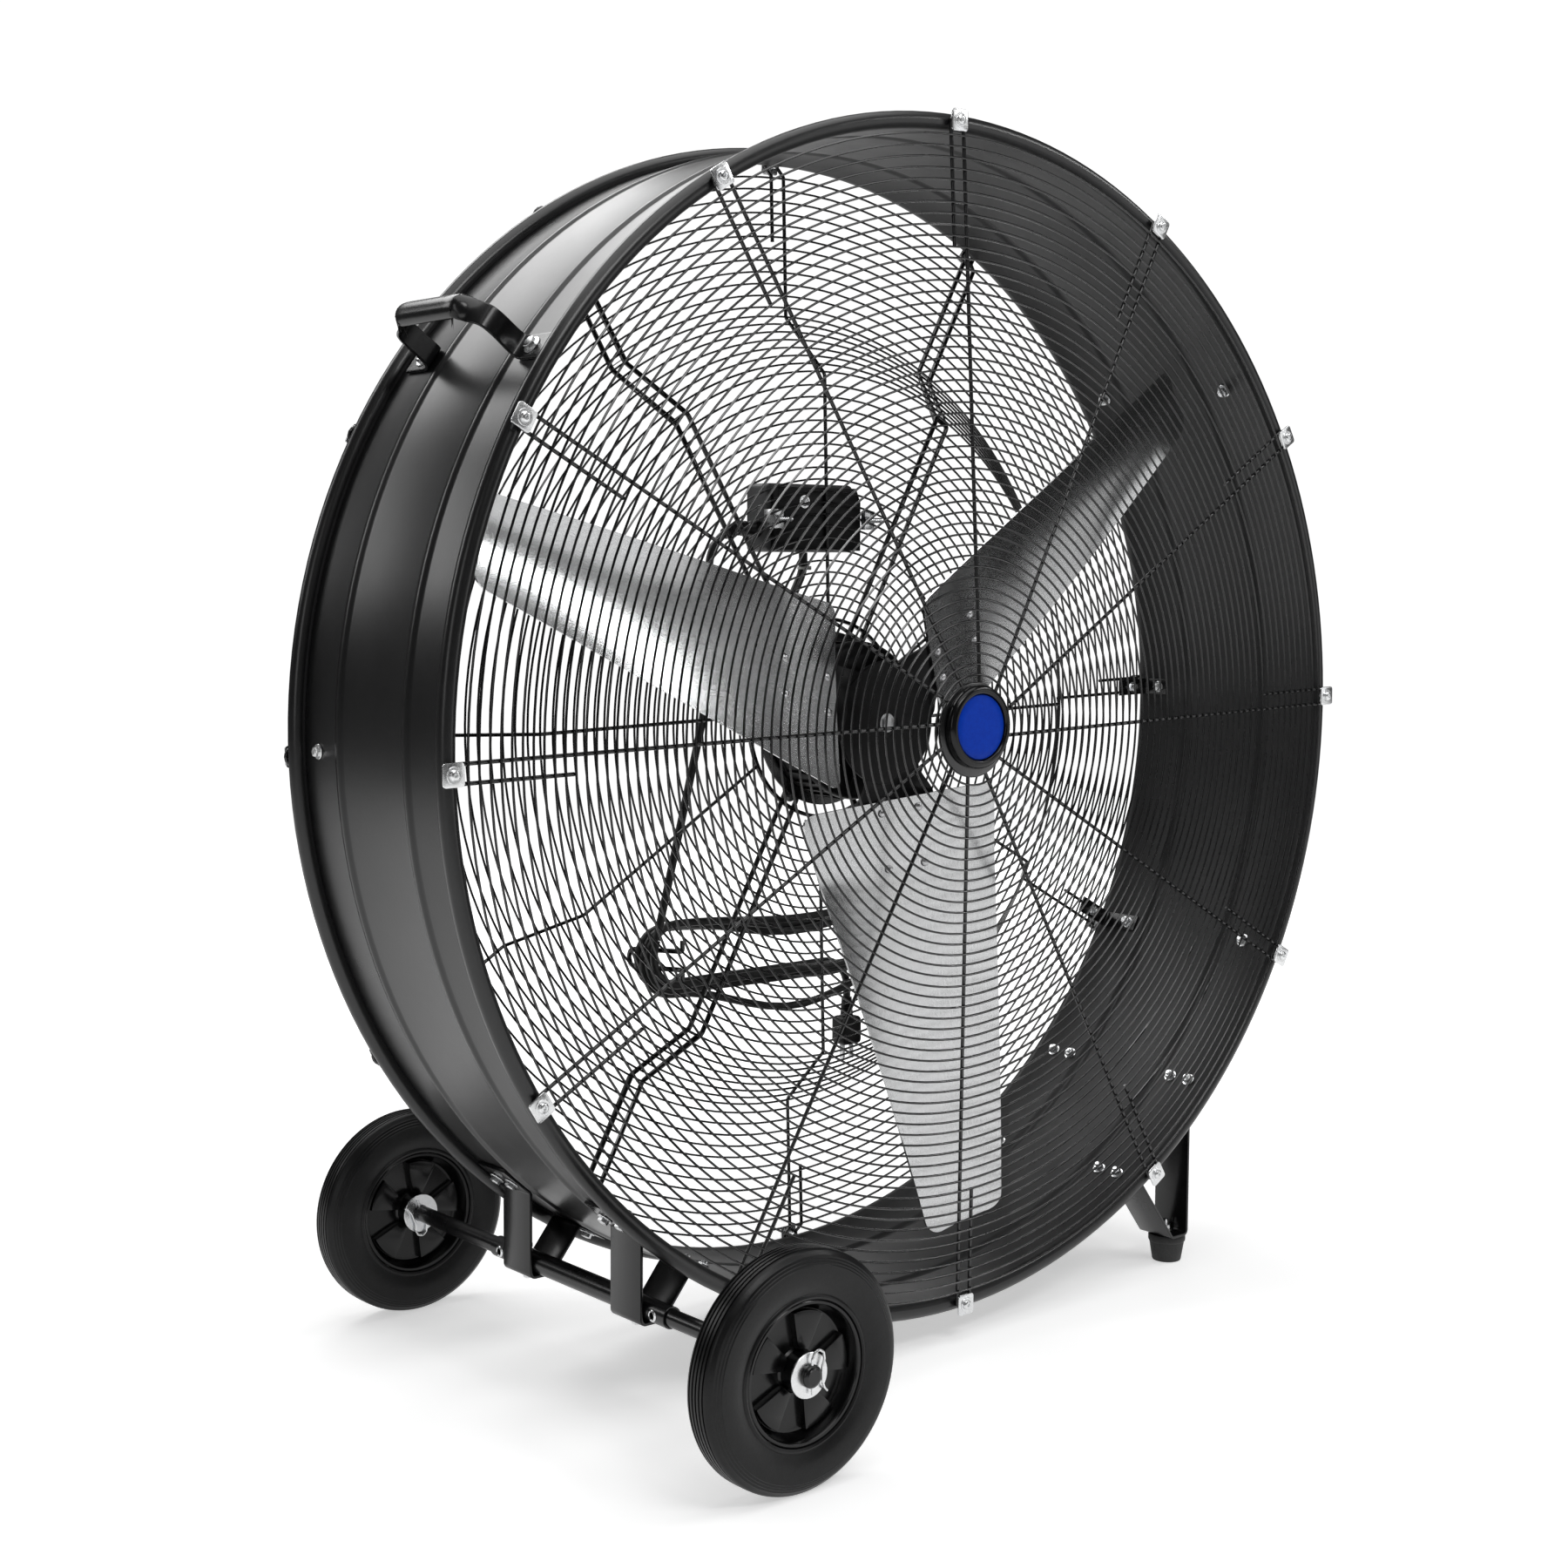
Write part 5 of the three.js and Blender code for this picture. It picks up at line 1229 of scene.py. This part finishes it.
def buildAxle():
    bm = bmesh.new()
    radius, end = axle["radius"], axle["end"]
    turnProfile(bm, mirrored([(0, -end), (radius - 1.5, -end), (radius, -end + 1.5)]), 40, False)
    addPiece("axle", bm, fittingPaint, stands=["axle"], place=fromAxle)
    bm = bmesh.new()
    tube, tubeEnd = axle["tube"], axle["tubeEnd"]
    turnProfile(bm, mirrored([(8.4, -tubeEnd), (tube - 0.4, -tubeEnd), (tube, -tubeEnd + 0.4)]), 40)
    piece = addPiece("axleTube", bm, fittingPaint, stands=["axle_tube"], place=fromAxle)
    cutHoles(piece, holeCutter((-axle["hole"], axle["hole"]), 3.4, 14))
    bm = bmesh.new()
    for y in (-axle["hole"], axle["hole"]):
        for side in (-90, 90):  # the rolled rim of a tube rivet round each hole
            seat = movedTo(0, y, 0) @ turnedBy(side, "Y")
            turnProfile(bm, [(3.4, 9.6), (5.2, 9.4), (5.6, 10), (5, 10.7), (3.9, 11), (3.3, 10.6)], 20, True,
                        seat @ turnedBy(90, "X"))
    addPiece("tubeRivets", bm, zincPlate, place=fromAxle)
    bm = bmesh.new()
    for side in (-1, 1):
        turnProfile(bm, [(0, side * 5.9), (5, side * 5.9), (8.2, side * 5.3), (9.5, side * 3.9),
                         (axle["cap"], side * 1.5), (axle["cap"], side * -1),
                         (8.1, side * -1), (8.1, side * 1.5), (0, side * 1.6)], 36, False,
                         movedTo(0, side * (end - 6), 0))
    addPiece("axleCaps", bm, fittingPaint, place=fromAxle)


buildHandles()
buildLegs()
buildWheels()
buildAxle()
print("handles, legs and wheels built")

box = {"left": -64, "right": 50, "bottom": 167, "top": 235, "face": 66.9, "split": 78, "back": 111}
clamp = {"ends": ((-69, -54), (51, 66)), "bottom": 190, "top": 209, "face": 62.6, "sheet": 2.2, "long": 77,
         "short": 66.8}
knob = {"x": -8, "z": 203, "radius": 17, "height": 15}


def buildBox():
    left, right, bottom, top = box["left"], box["right"], box["bottom"], box["top"]
    bm = bmesh.new()
    low, high = bottom + 1.5, top - 3.5
    outline = [(left + 5, low), (right + 1, low), (right + 1, high - 14), (right - 5, high), (left + 5, high)]
    extrudeOutline(bm, [Vector((x, 0, z)) for x, z in outline], box["face"], box["split"], 1.2)
    for z in (180, 191, 202, 213):
        addBlock(bm, (-34, box["face"] - 0.9, z), (right - 8, box["face"] + 2, z + 1.6), 0.4)
    addPiece("controlBox", bm, boxPlastic, stands=["control_box"])
    bm = bmesh.new()
    extrudeOutline(bm, roundedPlate(left, right, bottom, top, 5), box["split"] + gap, box["back"], 2.2)
    addPiece("boxCover", bm, coverPlastic, stands=["control_box_cover"])
    bm = bmesh.new()
    for x in (left + 8, right - 8):
        for z in (bottom + 8, top - 8):
            addPanHead(bm, toBack(x, box["back"] - 0.4, z), 3.2, 2)
    addPanHead(bm, toFront(-25, box["face"], 217), 4.4, 2)
    addPiece("boxScrews", bm, zincPlate)
    bm = bmesh.new()
    face, sheet, under, over = (clamp[key] for key in ("face", "sheet", "bottom", "top"))
    for low, high in clamp["ends"]:  # each a bent strip, its longer leg on the outside
        outer, inner = (low, high - sheet) if low < 0 else (high - sheet, low)
        addBlock(bm, (low, face, under), (high, face + sheet, over), 0.6)
        addBlock(bm, (outer, face, under), (outer + sheet, clamp["long"], over), 0.6)
        addBlock(bm, (inner, face, under), (inner + sheet, clamp["short"], over), 0.6)
        across = movedTo(high - 2, 60, 199.5) @ turnedBy(90, "Y")
        addHex(bm, 8, -16, -10, across)
        addCan(bm, 2.6, -12, 9, across, 0.4, 14)
    addPiece("boxClamps", bm, zincPlate)
    bm = bmesh.new()
    for i in range(10):
        angle = -135 + 270 * i / 9
        mark = addBlock(bm, (-0.5, box["back"] - 0.2, 20.5), (0.5, box["back"] + 0.35, 24.5), 0.15, Matrix(), 1)
        bmesh.ops.rotate(bm, verts=mark, cent=(0, 0, 0), matrix=Matrix.Rotation(math.radians(angle), 3, "Y"))
        bmesh.ops.translate(bm, verts=mark, vec=(knob["x"], 0, knob["z"]))
    addPiece("dialMarks", bm, dialInk)


def buildKnob():
    bm = bmesh.new()
    radius, height = knob["radius"], knob["height"]
    turnProfile(bm, [(0, 0), (radius - 0.5, 0), (radius, 0.5), (radius, 2.4), (radius - 0.8, 3),
                     (radius - 2.2, height - 2), (radius - 3.2, height - 0.6),
                     (radius - 4.4, height), (0, height)], 48, False)
    extrudeOutline(bm, roundedPlate(-3.2, 3.2, -radius + 4, radius - 1, 2.4), height - 3, height + 4, 1.2)
    for i in range(24):
        flute = addBlock(bm, (-0.7, 3.2, radius - 2.4), (0.7, height - 2.5, radius - 0.4), 0.4, Matrix(), 1)
        bmesh.ops.rotate(bm, verts=flute, cent=(0, 0, 0), matrix=Matrix.Rotation(math.radians(15 * i), 3, "Y"))
    place = fromAxis @ movedTo(knob["x"], box["back"] + gap, knob["z"])
    addPiece("speedKnob", bm, badgePlastic, "speed_knob", ["speed_knob"], place)
    bm = bmesh.new()
    addBlock(bm, (-0.6, height + 3.6, 4), (0.6, height + 4.0, radius - 3), 0.15, Matrix(), 1)
    addPiece("knobPointer", bm, dialInk, "speed_knob", place=place)


def buildGland():
    bm = bmesh.new()
    seat = movedTo(gland["box"] - gap, gland["y"], gland["z"]) @ turnedBy(90, "Z")
    turnProfile(bm, [(0, 0), (8.6, 0), (9, 0.5), (9, 4.5), (8.4, 5), (8.4, 6.4), (7.4, 9), (6.2, 11.8), (5.4, 13),
                     (0, 13)], 32, False, seat)
    addHex(bm, 15.4, 0.6, 4.4, seat @ turnedBy(-90, "X"))
    addPiece("cordGland", bm, boxPlastic, stands=["cord_gland"])
    bm = bmesh.new()
    turnProfile(bm, [(5.9, -1.6), (6.5, -1.6), (6.5, 1.6), (5.9, 1.6)], 24, True,
                movedTo(-17.2, 100, 105) @ turnedBy(90, "X"))
    addPiece("cableTie", bm, tieNylon)


hook = {"x": 180, "tipX": 184.5, "tip": 148, "high": -221, "low": -239, "drop": 6, "foot": 11, "wire": 5}


def buildHooks():
    seat = rear["inner"] - (rear["wire"] + 3) / 2 + 0.6 + (3 + hook["wire"]) / 2 + gap
    high, low, drop, tip = hook["high"], hook["low"], hook["drop"], hook["tip"]
    half = (high - low) / 2
    for side, name in ((-1, "Left"), (1, "Right")):
        x, end = side * hook["x"], side * hook["tipX"]
        line = [(x, seat, high + hook["foot"]), (x, seat, high + 3), (x, seat + 1, high + 0.9), (x, seat + 4, high),
                (end, tip - half, high - drop),
                (end, tip - 0.3 * half, high - drop - 0.3 * half), (end, tip, (high + low) / 2 - drop),
                (end, tip - 0.3 * half, low - drop + 0.3 * half), (end, tip - half, low - drop), (x, seat + 4, low),
                (x, seat + 1, low - 0.9), (x, seat, low - 3), (x, seat, low - hook["foot"])]
        bm = bmesh.new()
        sweepWire(bm, roundedLine(line, (2, 1, 2, 2, 4, 6, 4, 2, 2, 1, 2), 4), hook["wire"] / 2, 10)
        addPiece(f"cordHook{name}", bm, wireCoat, stands=[f"cord_hook_{name.lower()}"])


buildBox()
buildKnob()
buildGland()
buildHooks()
print("control box and hooks built")


# floor, world and lights
def buildStage():
    bm = bmesh.new()
    bmesh.ops.create_circle(bm, cap_ends=True, segments=96, radius=4.2)
    mesh = bpy.data.meshes.new("studioFloor")
    bm.to_mesh(mesh)
    bm.free()
    floor = bpy.data.objects.new("studioFloor", mesh)
    bpy.context.scene.collection.objects.link(floor)
    pale, tree, shader, where = newFinish("paleFloor", {"set": {"Roughness": 0.9, "Emission Strength": 1.0}})
    cloud = placeGroup(tree, mottle, where, scale=0.7, low=0.0, high=1.0)
    tree.links.new(blendColours(tree, cloud.outputs["Value"], (0.84, 0.84, 0.84), (0.86, 0.86, 0.86)),
                   shader.inputs["Base Color"])
    away = addNode(tree, "ShaderNodeVectorMath", operation="LENGTH")
    tree.links.new(where, away.inputs[0])
    far = spread(tree, away.outputs["Value"], 0.0, 1.0, 0.9, 2.6)
    path = addNode(tree, "ShaderNodeLightPath")  # the camera sees the floor run out to white, reflections see it even
    glow = blendColours(tree, far, (0.5, 0.5, 0.5), (1.0, 1.0, 1.0))
    tree.links.new(blendColours(tree, path.outputs["Is Camera Ray"], (0.42, 0.42, 0.42), glow),
                   shader.inputs["Emission Color"])
    mesh.materials.append(pale)


def buildWorld():
    world = bpy.data.worlds.new("studioWorld")
    bpy.context.scene.world = world
    world.use_nodes = True
    tree = world.node_tree
    back = tree.nodes["Background"]
    back.inputs["Color"].default_value = (1, 1, 1, 1)
    back.inputs["Strength"].default_value = 0.07
    seen = addNode(tree, "ShaderNodeBackground")
    seen.inputs["Color"].default_value = (1, 1, 1, 1)
    seen.inputs["Strength"].default_value = 1.05
    path = addNode(tree, "ShaderNodeLightPath")
    both = addNode(tree, "ShaderNodeMixShader")
    tree.links.new(path.outputs["Is Camera Ray"], both.inputs[0])
    tree.links.new(back.outputs[0], both.inputs[1])
    tree.links.new(seen.outputs[0], both.inputs[2])
    tree.links.new(both.outputs[0], tree.nodes["World Output"].inputs[0])


lights = (  # name, place, looks at, width, height, radiance
    ("highBackSoftbox", (-0.35, 2.3, 2.95), (-0.3, 0, 0.9), 3.1, 1.05, 4.2),
    ("leftBackSoftbox", (-2.35, 2.3, 2.0), (-0.4, 0, 0.8), 1.0, 1.1, 3.4),
    ("rightBackSoftbox", (2.6, 2.5, 0.95), (0, 0, 0.3), 1.3, 1.1, 1.6),
    ("overheadSoftbox", (0, -0.3, 3.5), (0, 0, 0.6), 3.2, 3.2, 1.8),
    ("rightStrip", (2.0, -1.3, 2.15), (-0.3, 0, 0.75), 1.5, 0.14, 14),
    ("rightHighPanel", (2.35, -1.55, 2.45), (-0.3, 0, 0.75), 2.4, 1.5, 0.22),
    ("frontTopSoftbox", (-0.3, -2.4, 2.7), (0, 0, 0.7), 1.4, 0.7, 7),
    ("rightFrontSoftbox", (2.2, -2.4, 1.0), (0, 0, 0.7), 1.5, 1.5, 1.1),
    ("leftFrontSoftbox", (-3.0, -1.3, 1.3), (-0.3, 0, 0.6), 0.8, 1.6, 1.6),
)


def buildLights():
    for name, place, aim, width, height, radiance in lights:
        lamp = bpy.data.lights.new(name, "AREA")
        lamp.shape, lamp.size, lamp.size_y = "RECTANGLE", width, height
        lamp.energy = radiance * math.pi * width * height
        holder = bpy.data.objects.new(name, lamp)
        away = Vector(place) - Vector(aim)
        holder.matrix_world = Matrix.Translation(place) @ away.to_track_quat("Z", "Y").to_matrix().to_4x4()
        holder.visible_camera = False
        bpy.context.scene.collection.objects.link(holder)


buildStage()
buildWorld()
buildLights()
bpy.context.scene.view_settings.view_transform = "Standard"
print("stage lit")
